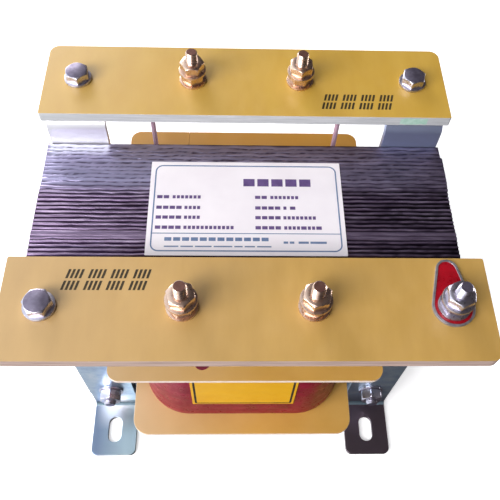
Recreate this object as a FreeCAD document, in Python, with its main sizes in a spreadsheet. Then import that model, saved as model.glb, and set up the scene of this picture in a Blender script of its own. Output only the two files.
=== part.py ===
import FreeCAD, Part

import math
import os

import Sketcher
from FreeCAD import Placement, Rotation, Vector

# Control transformer: an interleaved E and I core with one bobbin on its centre limb, held between
# four folded feet that also carry two terminal boards. Millimetres, +X to the right, +Z up, and the
# output board on the -Y side. The origin is under the middle of the part, on the panel it stands on.

# Sizes that can be set by themselves.
SIZES = (
    ("limb", 70, "width of the core's centre limb, by which a lamination is sold"),
    ("packet", 10, "thickness of one packet of sheets laid the same way round"),
    ("packet_pairs", 4, "packets laid upright, and as many inverted"),
    ("ridges", 4, "raised strips on a packet's edge"),
    ("ridge", 1.4, "width of a raised strip"),
    ("groove_depth", 0.5, "how far the sheets between two ridges stand back"),
    ("closing_drop", 0.3, "how much lower the closing I sheets are than the E sheets"),
    ("core_lift", 15, "height of the core's underside over the panel"),
    ("limb_clearance", 0.5, "gap between the centre limb and the bobbin's tube"),
    ("seat_gap", 0.3, "gap between the lower yoke and the bobbin"),
    ("head_gap", 0.5, "gap between the bobbin and the upper yoke"),
    ("tube_wall", 2.5, "wall of the bobbin's tube"),
    ("tube_corner", 5.4, "outer corner radius of the tube, to which each layer of the coil adds its own"),
    ("cheek", 2.5, "thickness of a bobbin flange"),
    ("cheek_side_gap", 2, "gap between a flange's side and the core's outer limb"),
    ("cheek_reach", 38, "how far a flange reaches past the face of the stack"),
    ("cheek_corner", 10, "corner radius of the lower flange"),
    ("top_cheek_corner", 6, "corner radius of the upper flange"),
    ("glue_gap", 0.1, "gap between layers and round the tube in the flanges"),
    ("output_build", 11, "thickness of the inner, low voltage winding"),
    ("barrier_build", 1, "thickness of the insulation between the windings"),
    ("input_build", 8.7, "thickness of the outer, high voltage winding"),
    ("wrap_build", 2, "thickness of the red wrap"),
    ("peep_hole", 8, "diameter of the round hole in the upper flange"),
    ("peep_left", 21.5, "distance of that hole to the left of the middle"),
    ("peep_forward", 28.5, "distance of that hole in front of the stack"),
    ("slit_width", 0.6, "width of the slit in the upper flange's rear edge"),
    ("slit_length", 11, "length of that slit"),
    ("slit_left", 33.4, "distance of that slit to the left of the middle"),
    ("strip_width", 30, "width of the folded strip that makes a foot"),
    ("strip", 3, "thickness of that strip"),
    ("bend", 3, "inner radius of its bends"),
    ("foot_reach", 39, "distance from the core's face to the foot's tip"),
    ("foot_corner", 4, "corner radius of the foot's tip"),
    ("ledge_reach", 44, "distance from the core's face to the tip of the ledge under the board"),
    ("slot_width", 9, "width of the mounting slot"),
    ("slot_length", 17, "length of the mounting slot"),
    ("slot_reach", 22, "distance from the core's face to the slot's middle"),
    ("board_gap", 16, "height of the boards' underside over the core"),
    ("board_length", 210, "length of a terminal board"),
    ("board_width", 48, "width of a terminal board"),
    ("board_thickness", 6, "thickness of a terminal board"),
    ("board_reach", 1, "distance from the core's face to a board's inner edge"),
    ("board_corner", 5, "radius of a terminal board's outer corners"),
    ("board_inner_corner", 1, "radius of its corners beside the core"),
    ("core_bolt", 8, "diameter of the bolts through the core"),
    ("core_bolt_flats", 13, "their heads and nuts across the flats"),
    ("core_bolt_head", 5.3, "height of their heads"),
    ("core_nut", 6.5, "height of their nuts"),
    ("core_bolt_end", 2.5, "length of thread past the nut"),
    ("core_washer_across", 16, "diameter of their washers"),
    ("core_washer", 1.6, "thickness of their washers"),
    ("fit", 0.2, "clearance on the diameter of a bolt in its washer"),
    ("hole_play", 0.4, "clearance on the diameter of a hole in the core, a foot or a board"),
    ("screw", 6, "diameter of the studs and bolts in the boards"),
    ("screw_flats", 11, "their heads and nuts across the flats"),
    ("screw_head", 4.5, "height of their heads"),
    ("screw_nut", 5, "height of their nuts"),
    ("screw_grip", 5.35, "diameter of a stud inside its nuts, half-way down its thread"),
    ("screw_washer_across", 14, "diameter of their washers"),
    ("screw_washer", 1.4, "thickness of their washers"),
    ("screw_end", 1.5, "length of thread past the nut under a board"),
    ("spring_washer_across", 11, "diameter of a spring washer"),
    ("spring_washer", 1.6, "thickness of a spring washer"),
    ("spring_washer_split", 1.2, "width of the split in a spring washer"),
    ("terminal_spread", 28, "distance of a terminal stud from the middle of its board"),
    ("stud_rise", 19.5, "height of a stud's end over its board"),
    ("tag_thickness", 1.2, "thickness of the earth tag"),
    ("tag_eye", 9.2, "radius of the tag's end round the stud"),
    ("tag_tip", 4.9, "radius of its far end"),
    ("tag_length", 17.8, "distance between the middles of the two ends"),
    ("tag_rim", 1, "width of the raised rim round the tag"),
    ("tag_recess", 0.3, "depth of the coloured field inside the rim"),
    ("lead", 2.6, "diameter of a sleeved lead"),
    ("lead_bend", 8, "radius of a lead's bend, to its middle line"),
    ("lead_hole_play", 1, "clearance on the diameter of a lead's hole in the flange"),
    ("lead_grip", 5.5, "length of a lead inside its lug"),
    ("input_lead_out", 23, "distance of an input lead outward from its stud"),
    ("input_lead_in", 7, "distance of an input lead from its stud towards the core"),
    ("output_lead_out", 18, "distance of an output lead outward from its stud"),
    ("output_lead_in", 16, "distance of an output lead from its stud towards the core"),
    ("lug", 1, "thickness of a lug's tongue"),
    ("lug_eye", 6, "radius of a lug's eye"),
    ("lug_neck", 4, "width of a lug's neck"),
    ("lug_barrel_start", 8, "distance from a stud's axis to the lug's barrel"),
    ("lug_barrel_length", 7.5, "length of a lug's barrel"),
    ("lug_barrel_wall", 0.7, "wall of a lug's barrel"),
    ("lug_barrel_drop", 2.4, "depth of the barrel's axis under the board"),
    ("plate_length", 98, "length of the rating label on the core"),
    ("plate_width", 56, "width of the rating label"),
    ("plate_corner", 0.5, "corner radius of the labels"),
    ("plate", 0.3, "thickness of the labels"),
    ("sticker_width", 60, "width of the blank label on the coil"),
    ("sticker_height", 50, "height of the blank label on the coil"),
)

# Places and sizes that follow from the ones above.
PLACES = (
    ("core_width", "3 * Size.limb"),
    ("core_height", "2.5 * Size.limb"),
    ("yoke", "Size.limb / 2"),
    ("hole_inset", "Size.limb / 4"),
    ("stack", "2 * Size.packet_pairs * Size.packet"),
    ("face", "stack / 2"),
    ("core_middle", "Size.core_lift + core_height / 2"),
    ("core_top", "Size.core_lift + core_height"),
    ("ridge_pitch", "Size.packet / Size.ridges"),
    ("groove_width", "ridge_pitch - Size.ridge"),
    ("bolt_x", "core_width / 2 - hole_inset"),
    ("bolt_z", "core_height / 2 - hole_inset"),
    ("bobbin_bottom", "Size.core_lift + yoke + Size.seat_gap"),
    ("bobbin_top", "core_top - yoke - Size.head_gap"),
    ("coil_bottom", "bobbin_bottom + Size.cheek"),
    ("coil_top", "bobbin_top - Size.cheek"),
    ("tube_width", "Size.limb + 2 * Size.limb_clearance + 2 * Size.tube_wall"),
    ("tube_depth", "stack + 2 * Size.limb_clearance + 2 * Size.tube_wall"),
    ("output_grow", "2 * Size.glue_gap + 2 * Size.output_build"),
    ("barrier_grow", "output_grow + 2 * Size.glue_gap + 2 * Size.barrier_build"),
    ("input_grow", "barrier_grow + 2 * Size.glue_gap + 2 * Size.input_build"),
    ("wrap_grow", "input_grow + 2 * Size.glue_gap + 2 * Size.wrap_build"),
    ("cheek_width", "core_width - 2 * yoke - 2 * Size.cheek_side_gap"),
    ("cheek_depth", "stack + 2 * Size.cheek_reach"),
    ("board_seat", "core_top + Size.board_gap"),
    ("board_top", "board_seat + Size.board_thickness"),
    ("board_y", "face + Size.board_reach + Size.board_width / 2"),
    ("screw_hole", "Size.screw + Size.hole_play"),
    ("core_hole", "Size.core_bolt + Size.hole_play"),
    ("clamp", "face + Size.strip"),
    ("stud_top", "board_top + Size.stud_rise"),
    ("ledge_bottom", "board_seat - Size.strip"),
    ("barrel_z", "board_seat - Size.lug_barrel_drop"),
    ("barrel_bore", "Size.lead + Size.fit"),
    ("barrel_across", "barrel_bore + 2 * Size.lug_barrel_wall"),
    ("barrel_end", "Size.lug_barrel_start + Size.lug_barrel_length"),
    ("lead_hole", "Size.lead + Size.lead_hole_play"),
    ("input_lead_run", "sqrt(Size.input_lead_out ^ 2 + Size.input_lead_in ^ 2)"),
    ("output_lead_run", "sqrt(Size.output_lead_out ^ 2 + Size.output_lead_in ^ 2)"),
    ("tag_z", "board_top + Size.tag_thickness - Size.tag_recess"),
)

HALF_TURN = 180

# Largest error of a place or a direction, in the tests that pick edges.
TINY = 1e-6

doc = FreeCAD.newDocument("control_transformer")


def fill_sheet(name, rows):
    """Makes a sheet with one named cell a row, and a note where the row has one."""
    sheet = doc.addObject("Spreadsheet::Sheet", name)
    for number, (alias, content, *note) in enumerate(rows, start=1):
        sheet.set(f"A{number}", alias)
        sheet.set(f"B{number}", str(content))
        sheet.setAlias(f"B{number}", alias)
        if note:
            sheet.set(f"C{number}", note[0])
    return sheet


sheet = fill_sheet("Size", SIZES)
fill_sheet("Place", [(alias, "=" + rule) for alias, rule in PLACES])
doc.recompute()


def value(text):
    """Number that an expression has now."""
    return float(sheet.evalExpression(text))


# Sketches


def new_body(label):
    body = doc.addObject("PartDesign::Body", label)
    body.Label = label
    return body


def new_sketch(body, name, plane, offset="0"):
    """Sketch on one of the body's own planes, moved along the plane's normal."""
    role = f"{plane}_Plane"
    support = [item for item in body.Origin.OriginFeatures if item.Role == role][0]
    sketch = body.newObject("Sketcher::SketchObject", name)
    sketch.AttachmentSupport = [(support, "")]
    sketch.MapMode = "FlatFace"
    sketch.setExpression("AttachmentOffset.Base.z", offset)
    return sketch


def limit(sketch, kind, text, *ends):
    """Adds a constraint whose size is an expression."""
    index = sketch.addConstraint(Sketcher.Constraint(kind, *ends, value(text)))
    sketch.setExpression(f"Constraints[{index}]", text)


def pin(sketch, curve, point, x, y):
    """Ties a point of a curve to the sketch's origin."""
    limit(sketch, "DistanceX", x, -1, 1, curve, point)
    limit(sketch, "DistanceY", y, -1, 1, curve, point)


def circle(sketch, x, y, across):
    middle = Vector(value(x), value(y), 0)
    curve = sketch.addGeometry(Part.Circle(middle, Vector(0, 0, 1), value(across) / 2), False)
    pin(sketch, curve, 3, x, y)
    limit(sketch, "Diameter", across, curve)


def polygon(sketch, corners):
    """Closed outline through the corners, each pinned by its own two expressions."""
    points = [Vector(value(x), value(y), 0) for x, y in corners]
    first = sketch.GeometryCount
    for start, end in zip(points, points[1:] + points[:1]):
        sketch.addGeometry(Part.LineSegment(start, end), False)
    for number, (x, y) in enumerate(corners):
        before = first + (number - 1) % len(corners)
        sketch.addConstraint(Sketcher.Constraint("Coincident", before, 2, first + number, 1))
        pin(sketch, first + number, 1, x, y)


def rectangle(sketch, left, bottom, right, top):
    polygon(sketch, [(left, bottom), (right, bottom), (right, top), (left, top)])


def hexagon(sketch, x, y, flats):
    """Hexagon about a point with two flats across the sketch's first axis."""
    side = f"({flats}) / 2"
    low = f"({flats}) / 2 * tan(30 deg)"
    high = f"({flats}) / 2 / cos(30 deg)"
    polygon(sketch, [(f"{x} + {side}", f"{y} - {low}"), (f"{x} + {side}", f"{y} + {low}"),
                     (x, f"{y} + {high}"), (f"{x} - {side}", f"{y} + {low}"),
                     (f"{x} - {side}", f"{y} - {low}"), (x, f"{y} - {high}")])


def arc_chain(sketch, arcs):
    """Closed outline of arcs joined by straight lines that run on from them.

    Each arc is its middle's two places, its radius, and its first and last angle in degrees,
    turning to the left.
    """
    curves = []
    for x, y, radius, first, last in arcs:
        base = Part.Circle(Vector(value(x), value(y), 0), Vector(0, 0, 1), value(radius))
        curves.append(Part.ArcOfCircle(base, math.radians(first), math.radians(last)))
    numbers = [sketch.addGeometry(curve, False) for curve in curves]
    for (x, y, radius, first, last), number in zip(arcs, numbers):
        pin(sketch, number, 3, x, y)
        limit(sketch, "Radius", radius, number)
    count = len(arcs)
    for order in range(count):
        follower = (order + 1) % count
        line = Part.LineSegment(curves[order].EndPoint, curves[follower].StartPoint)
        link = sketch.addGeometry(line, False)
        sketch.addConstraint(Sketcher.Constraint("Tangent", numbers[order], 2, link, 1))
        sketch.addConstraint(Sketcher.Constraint("Tangent", link, 2, numbers[follower], 1))


def rounded_rectangle(sketch, x, y, width, depth, radius, back_radius=None):
    """Rounded rectangle. Its two corners at the back may have a radius of their own."""
    arcs = []
    for right, back, first in ((1, 0, -90), (1, 1, 0), (0, 1, 90), (0, 0, 180)):
        corner = back_radius if back and back_radius else radius
        reach = f"(({width}) / 2 - ({corner}))"
        rise = f"(({depth}) / 2 - ({corner}))"
        arcs.append((f"{x} {'+' if right else '-'} {reach}", f"{y} {'+' if back else '-'} {rise}",
                     corner, first, first + HALF_TURN / 2))
    arc_chain(sketch, arcs)


# Features


def pad(body, sketch, length, reverse=False):
    """Pad along the sketch's normal, or against it."""
    feature = body.newObject("PartDesign::Pad", f"{sketch.Name}_pad")
    feature.Profile = sketch
    feature.Reversed = reverse
    feature.setExpression("Length", length)
    sketch.Visibility = False
    body.Tip = feature
    return feature


def pocket(body, sketch, depth):
    """Pocket against the sketch's normal. It has to take something away."""
    doc.recompute()
    before = body.Shape.Volume
    feature = body.newObject("PartDesign::Pocket", f"{sketch.Name}_pocket")
    feature.Profile = sketch
    feature.setExpression("Length", depth)
    body.Tip = feature
    doc.recompute()
    if body.Shape.Volume >= before:
        raise RuntimeError(f"{sketch.Name} cuts nothing")
    return feature


def round_edges(body, radius, wanted):
    """Fillet on the edges of the body that the test picks."""
    doc.recompute()
    names = [f"Edge{n}" for n, edge in enumerate(body.Shape.Edges, start=1) if wanted(edge)]
    base = body.Tip
    feature = body.newObject("PartDesign::Fillet", f"{body.Name}_fillet_{len(body.Group)}")
    feature.Base = (base, names)
    feature.setExpression("Radius", radius)
    body.Tip = feature
    return feature


def put(part, x="0", y="0", z="0"):
    """Ties a sub-part's place to expressions."""
    for axis, text in (("x", x), ("y", y), ("z", z)):
        part.setExpression(f"Placement.Base.{axis}", text)


# Core: packets of E sheets, turned upright and upside down by turns, each closed by I sheets


def edge_grooves(body, outline, start):
    """Shallow grooves round a packet's outer edges, which leave a ridge before each."""
    grooves = []
    for number in range(round(value("Size.ridges"))):
        offset = f"{start} - Size.ridge - {number} * Place.ridge_pitch"
        sketch = new_sketch(body, f"{body.Name}_groove_{number}", "XZ", offset)
        polygon(sketch, outline)
        grooves.append(pocket(body, sketch, "Place.groove_width"))
    return grooves


def repeat_packets(body, originals):
    pattern = body.newObject("PartDesign::LinearPattern", f"{body.Name}_pattern")
    pattern.Originals = originals
    axis = [item for item in body.Origin.OriginFeatures if item.Role == "Y_Axis"][0]
    pattern.Direction = (axis, [""])
    pattern.setExpression("Occurrences", "Size.packet_pairs")
    pattern.setExpression("Length", "2 * Size.packet * (Size.packet_pairs - 1)")
    body.Tip = pattern


def packets(label, kind, inverted):
    """All packets of one kind of sheet, laid one way round, drawn about the core's middle."""
    body = new_body(label)
    start = "Place.face - Size.packet" if inverted else "Place.face"
    half, top, yoke = "Place.core_width / 2", "Place.core_height / 2", "Place.yoke"
    foot = f"-{top} + {yoke}"
    sketch = new_sketch(body, f"{label}_outline", "XZ", start)
    if kind == "E":
        inner, limb, crown = f"{half} - {yoke}", "Size.limb / 2", f"{top} - {yoke}"
        polygon(sketch, [(f"-{half}", top), (f"-{half}", foot), (f"-({inner})", foot),
                         (f"-({inner})", crown), (f"-{limb}", crown), (f"-{limb}", foot),
                         (limb, foot), (limb, crown), (inner, crown), (inner, foot),
                         (half, foot), (half, top)])
        hole_z, edge, side = "Place.bolt_z", top, 1
    else:
        hole_z, side = "-Place.bolt_z", -1
        edge = f"-({top} - Size.closing_drop)"
        rectangle(sketch, f"-{half}", edge, half, foot)
    for x in ("-Place.bolt_x", "Place.bolt_x"):
        circle(sketch, x, hole_z, "Place.core_hole")
    packet = pad(body, sketch, "Size.packet", reverse=True)
    # The grooves' outline goes round the two ends and the outer edge, and lies outside the sheet.
    beyond, back = f"{half} + Size.ridge", f"{half} - Size.groove_depth"
    far = f"{edge} + {side} * Size.ridge"
    near = f"{edge} - {side} * Size.groove_depth"
    outline = [(f"-({beyond})", foot), (f"-({beyond})", far), (beyond, far), (beyond, foot),
               (back, foot), (back, near), (f"-({back})", near), (f"-({back})", foot)]
    repeat_packets(body, [packet] + edge_grooves(body, outline, start))
    put(body, z="Place.core_middle")
    if inverted:
        body.Placement.Rotation = Rotation(Vector(0, 1, 0), HALF_TURN)
    return body


def core():
    return [packets("e_laminations_upright", "E", False), packets("e_laminations_inverted", "E", True),
            packets("i_laminations_bottom", "I", False), packets("i_laminations_top", "I", True)]


# Bobbin: a tube round the centre limb with a flange at each end


def bobbin_tube():
    body = new_body("bobbin_tube")
    sketch = new_sketch(body, "tube_section", "XY", "Place.bobbin_bottom")
    rounded_rectangle(sketch, "0", "0", "Place.tube_width", "Place.tube_depth", "Size.tube_corner")
    half, deep = "(Size.limb / 2 + Size.limb_clearance)", "(Place.face + Size.limb_clearance)"
    rectangle(sketch, f"-{half}", f"-{deep}", half, deep)
    pad(body, sketch, "Place.bobbin_top - Place.bobbin_bottom")
    return body


def stand(board, side):
    """Where one lead stands: its two places from the middle of the part."""
    across = "-" if side == "left" else ""
    back = "-" if board == "front" else ""
    kind = "output" if board == "front" else "input"
    return (f"{across}(Size.terminal_spread + Size.{kind}_lead_out)",
            f"{back}(Place.board_y - Size.{kind}_lead_in)")


CORNERS = [(board, side) for board in ("front", "rear") for side in ("left", "right")]


def bobbin_flange(label, bottom, corner, with_outlets):
    """Flange with an opening for the tube. The upper one also lets the leads out."""
    body = new_body(label)
    sketch = new_sketch(body, f"{label}_outline", "XY", bottom)
    rounded_rectangle(sketch, "0", "0", "Place.cheek_width", "Place.cheek_depth", corner)
    half, deep = "(Place.tube_width / 2 + Size.glue_gap)", "(Place.tube_depth / 2 + Size.glue_gap)"
    rectangle(sketch, f"-{half}", f"-{deep}", half, deep)
    if with_outlets:
        for board, side in CORNERS:
            circle(sketch, *stand(board, side), "Place.lead_hole")
        circle(sketch, "-Size.peep_left", "-(Place.face + Size.peep_forward)", "Size.peep_hole")
    pad(body, sketch, "Size.cheek")
    if with_outlets:
        slit = new_sketch(body, "slit", "XY", f"{bottom} + Size.cheek")
        edge = "Place.cheek_depth / 2"
        rectangle(slit, "-Size.slit_left - Size.slit_width / 2", f"{edge} - Size.slit_length",
                  "-Size.slit_left + Size.slit_width / 2", f"{edge} + Size.slit_width")
        pocket(body, slit, "Size.cheek")
    return body


# Coil: each layer is a ring round the one inside it, from flange to flange. Its corners are round
# about the same middles as the tube's, as wire lies when it is wound.


def layer(label, inner_grow, outer_grow):
    body = new_body(label)
    sketch = new_sketch(body, f"{label}_section", "XY", "Place.coil_bottom")
    for grow in (inner_grow, outer_grow):
        rounded_rectangle(sketch, "0", "0", f"Place.tube_width + {grow}", f"Place.tube_depth + {grow}",
                          f"Size.tube_corner + ({grow}) / 2")
    pad(body, sketch, "Place.coil_top - Place.coil_bottom")
    return body


def coil():
    gap = "2 * Size.glue_gap"
    return [layer("output_winding", gap, "Place.output_grow"),
            layer("winding_barrier", f"Place.output_grow + {gap}", "Place.barrier_grow"),
            layer("input_winding", f"Place.barrier_grow + {gap}", "Place.input_grow"),
            layer("coil_wrap", f"Place.input_grow + {gap}", "Place.wrap_grow")]


def coil_label():
    body = new_body("coil_label")
    sketch = new_sketch(body, "coil_label_outline", "XZ", "Place.tube_depth / 2 + Place.wrap_grow / 2")
    rounded_rectangle(sketch, "0", "(Place.coil_bottom + Place.coil_top) / 2",
                      "Size.sticker_width", "Size.sticker_height", "Size.plate_corner")
    pad(body, sketch, "Size.plate")
    return body


def rating_label():
    body = new_body("rating_label")
    sketch = new_sketch(body, "rating_label_outline", "XY", "Place.core_top")
    rounded_rectangle(sketch, "0", "0", "Size.plate_length", "Size.plate_width", "Size.plate_corner")
    pad(body, sketch, "Size.plate")
    return body


# Feet: each is one strip, folded outward at the bottom into a foot and at the top into a ledge


def lies_along(edge, axis):
    """True for a straight edge that runs along the axis."""
    if edge.Curve.TypeId != "Part::GeomLine":
        return False
    return 1 - abs(edge.tangentAt(edge.FirstParameter)[axis]) < TINY


def foot_strip(board, side):
    """Folded strip, drawn from the core's face at x = 0 outward along +X, and then turned."""
    label = f"bracket_{board}_{side}"
    body = new_body(label)
    height, strip, wide = "Place.board_seat", "Size.strip", "Size.strip_width"
    sketch = new_sketch(body, f"{label}_side", "XZ", f"-{wide} / 2")
    polygon(sketch, [("0", "0"), ("Size.foot_reach", "0"), ("Size.foot_reach", strip), (strip, strip),
                     (strip, f"{height} - {strip}"), ("Size.ledge_reach", f"{height} - {strip}"),
                     ("Size.ledge_reach", height), ("0", height)])
    pad(body, sketch, wide)
    near, far = value(strip) / 2, value(strip) * 3 / 2

    def is_bend(edge, low, high):
        return lies_along(edge, 1) and low < abs(edge.Vertexes[0].X) + TINY < high

    round_edges(body, "Size.bend", lambda edge: is_bend(edge, near, far))
    round_edges(body, "Size.bend + Size.strip", lambda edge: is_bend(edge, 0, near))
    tip, low = value("Size.foot_reach"), value(strip)
    round_edges(body, "Size.foot_corner", lambda edge: lies_along(edge, 2)
                and abs(edge.Vertexes[0].X - tip) < TINY and edge.BoundBox.ZMax < low + TINY)
    slot = new_sketch(body, f"{label}_slot", "XY", strip)
    reach = "(Size.slot_length - Size.slot_width) / 2"
    arc_chain(slot, [(f"Size.slot_reach + {reach}", "0", "Size.slot_width / 2", -90, 90),
                     (f"Size.slot_reach - {reach}", "0", "Size.slot_width / 2", 90, 270)])
    pocket(body, slot, strip)
    ledge_hole = new_sketch(body, f"{label}_ledge_hole", "XY", height)
    circle(ledge_hole, "Place.board_y - Place.face", "0", "Place.screw_hole")
    pocket(body, ledge_hole, strip)
    clamp_holes = new_sketch(body, f"{label}_clamp_holes", "YZ", strip)
    for z in ("Place.core_middle - Place.bolt_z", "Place.core_middle + Place.bolt_z"):
        circle(clamp_holes, "0", z, "Place.core_hole")
    pocket(body, clamp_holes, strip)
    forward = board == "front"
    body.Placement.Rotation = Rotation(Vector(0, 0, 1), -HALF_TURN / 2 if forward else HALF_TURN / 2)
    put(body, "-Place.bolt_x" if side == "left" else "Place.bolt_x",
        "-Place.face" if forward else "Place.face")
    return body


# Terminal boards


def terminal_board(board):
    body = new_body(f"terminal_board_{board}")
    sketch = new_sketch(body, f"board_{board}_outline", "XY")
    corners = ["Size.board_corner", "Size.board_inner_corner"]
    if board == "rear":
        corners.reverse()
    rounded_rectangle(sketch, "0", "0", "Size.board_length", "Size.board_width", *corners)
    for x in ("Place.bolt_x", "Size.terminal_spread"):
        circle(sketch, x, "0", "Place.screw_hole")
        circle(sketch, f"-{x}", "0", "Place.screw_hole")
    pad(body, sketch, "Size.board_thickness")
    put(body, y="-Place.board_y" if board == "front" else "Place.board_y", z="Place.board_seat")
    return body


# Fasteners: like pieces share a node, each piece a solid of its own


def rings(label, plane, offset, middles, outer, bore, thickness, reverse=False):
    """Washers on one level. A later call with the same label adds another level."""
    body = doc.getObject(label) or new_body(label)
    sketch = new_sketch(body, f"{label}_ring_{len(body.Group)}", plane, offset)
    for x, y in middles:
        circle(sketch, x, y, outer)
        circle(sketch, x, y, bore)
    pad(body, sketch, thickness, reverse)
    return body


def nuts(label, plane, offset, middles, flats, bore, height, reverse=False):
    body = doc.getObject(label) or new_body(label)
    sketch = new_sketch(body, f"{label}_nut_{len(body.Group)}", plane, offset)
    for x, y in middles:
        hexagon(sketch, x, y, flats)
        circle(sketch, x, y, bore)
    pad(body, sketch, height, reverse)
    return body


def bolts(label, plane, offset, middles, flats, head, shank, length, reverse=False):
    """Hexagon heads on one side of a level and shanks on the other."""
    body = new_body(label)
    heads = new_sketch(body, f"{label}_heads", plane, offset)
    shanks = new_sketch(body, f"{label}_shanks", plane, offset)
    for x, y in middles:
        hexagon(heads, x, y, flats)
        circle(shanks, x, y, shank)
    pad(body, heads, head, reverse)
    pad(body, shanks, length, not reverse)
    return body


def core_fasteners():
    """Four bolts through the core with their heads behind, and nuts in front."""
    middles = [(x, z) for x in ("-Place.bolt_x", "Place.bolt_x")
               for z in ("Place.core_middle - Place.bolt_z", "Place.core_middle + Place.bolt_z")]
    seat = "Place.clamp + Size.core_washer"
    bore = "Size.core_bolt + Size.fit"
    made = [bolts("core_bolts", "XZ", f"-({seat})", middles, "Size.core_bolt_flats",
                  "Size.core_bolt_head", "Size.core_bolt",
                  f"2 * ({seat}) + Size.core_nut + Size.core_bolt_end", reverse=True)]
    made.append(nuts("core_nuts", "XZ", seat, middles, "Size.core_bolt_flats", "Size.core_bolt",
                     "Size.core_nut"))
    made.append(rings("core_washers", "XZ", "Place.clamp", middles, "Size.core_washer_across", bore,
                      "Size.core_washer"))
    rings("core_washers", "XZ", "-Place.clamp", middles, "Size.core_washer_across", bore,
          "Size.core_washer", reverse=True)
    return made


def board_fasteners():
    """Three bolts down through the boards and ledges. The fourth corner is the earth terminal."""
    middles = [("-Place.bolt_x", "-Place.board_y"), ("-Place.bolt_x", "Place.board_y"),
               ("Place.bolt_x", "Place.board_y")]
    top, under = "Place.board_top + Size.screw_washer", "Place.ledge_bottom - Size.spring_washer"
    bore = "Size.screw + Size.fit"
    made = [bolts("board_bolts", "XY", top, middles, "Size.screw_flats", "Size.screw_head", "Size.screw",
                  f"{top} - ({under}) + Size.screw_nut + Size.screw_end")]
    made.append(rings("board_washers", "XY", "Place.board_top", middles, "Size.screw_washer_across", bore,
                      "Size.screw_washer"))
    springs = rings("board_spring_washers", "XY", under, middles, "Size.spring_washer_across", bore,
                    "Size.spring_washer")
    splits = new_sketch(springs, "splits", "XY", "Place.ledge_bottom")
    for x, y in middles:
        rectangle(splits, f"{x} - Size.spring_washer_split / 2", f"{y} + Size.screw / 4",
                  f"{x} + Size.spring_washer_split / 2", f"{y} + Size.spring_washer_across")
    pocket(springs, splits, "Size.spring_washer")
    made.append(springs)
    made.append(nuts("board_nuts", "XY", under, middles, "Size.screw_flats", "Size.screw",
                     "Size.screw_nut", reverse=True))
    return made


def clamp_stack(prefix, studs, middles, level):
    """Washer, nut, washer and nut on studs that stand on a level, and the studs' threads inside them."""
    step = "(Size.screw_washer + Size.screw_nut)"
    bore = "Size.screw + Size.fit"
    for number in (0, 1):
        foot = f"{level} + {number} * {step}"
        washers = rings(f"{prefix}_washers", "XY", foot, middles, "Size.screw_washer_across", bore,
                        "Size.screw_washer")
        locks = nuts(f"{prefix}_nuts", "XY", f"{foot} + Size.screw_washer", middles,
                     "Size.screw_flats", "Size.screw_grip", "Size.screw_nut")
    thread = new_sketch(studs, f"{prefix}_thread", "XY", f"{level} + 2 * {step}")
    for x, y in middles:
        circle(thread, x, y, bore)
        circle(thread, x, y, "Size.screw_grip")
    pocket(studs, thread, f"2 * {step} - Size.screw_washer")
    return [washers, locks]


def terminals():
    """Four brass studs with their heads under the boards, each with a lug between."""
    middles = [(x, y) for x in ("-Size.terminal_spread", "Size.terminal_spread")
               for y in ("-Place.board_y", "Place.board_y")]
    level = "Place.board_seat - Size.lug"
    studs = bolts("terminal_studs", "XY", level, middles, "Size.screw_flats", "Size.screw_head",
                  "Size.screw", f"Place.stud_top - ({level})", reverse=True)
    return [studs] + clamp_stack("terminal", studs, middles, "Place.board_top")


# Earth terminal: a stud in the fourth corner bolt's place, with a tag that points to the core


def tag_outline(sketch, eye, tip):
    """Drop shape: two unlike ends, and the straight sides that run on from them."""
    lean = value(f"asin(({eye} - {tip}) / Size.tag_length)")
    arc_chain(sketch, [("0", "0", eye, HALF_TURN - lean, HALF_TURN * 2 + lean),
                       ("0", "Size.tag_length", tip, lean, HALF_TURN - lean)])


def earth_tag():
    body = new_body("earth_tag")
    outline = new_sketch(body, "tag_outline", "XY")
    tag_outline(outline, "Size.tag_eye", "Size.tag_tip")
    circle(outline, "0", "0", "Size.screw + Size.fit")
    pad(body, outline, "Size.tag_thickness")
    field = new_sketch(body, "tag_field", "XY", "Size.tag_thickness")
    tag_outline(field, "(Size.tag_eye - Size.tag_rim)", "(Size.tag_tip - Size.tag_rim)")
    pocket(body, field, "Size.tag_recess")
    put(body, "Place.bolt_x", "-Place.board_y", "Place.board_top")
    return body


def earth_terminal():
    middles = [("Place.bolt_x", "-Place.board_y")]
    level = "Place.ledge_bottom - Size.screw_washer"
    stud = bolts("earth_stud", "XY", level, middles, "Size.screw_flats", "Size.screw_head", "Size.screw",
                 f"Place.stud_top - ({level})", reverse=True)
    stack = clamp_stack("earth", stud, middles, "Place.tag_z")
    rings("earth_washers", "XY", level, middles, "Size.screw_washer_across", "Size.screw + Size.fit",
          "Size.screw_washer")
    return [stud, earth_tag()] + stack


# Leads: each rises from the coil through the upper flange and bends into a lug under its stud


def turn_to_lead(part, board, side):
    """Places a piece on its stud's axis and turns its +X towards the lead."""
    kind = "output" if board == "front" else "input"
    inward = f"atan(Size.{kind}_lead_in / Size.{kind}_lead_out)"
    turn = inward if board == "front" else f"-{inward}"
    if side == "left":
        turn = f"{HALF_TURN} deg - {turn}" if board == "front" else f"{HALF_TURN} deg + {inward}"
    part.Placement = Placement(Vector(), Rotation(Vector(0, 0, 1), 1))
    part.setExpression("Placement.Rotation.Angle", turn)
    put(part, "-Size.terminal_spread" if side == "left" else "Size.terminal_spread",
        "-Place.board_y" if board == "front" else "Place.board_y", "Place.barrel_z")


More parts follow.
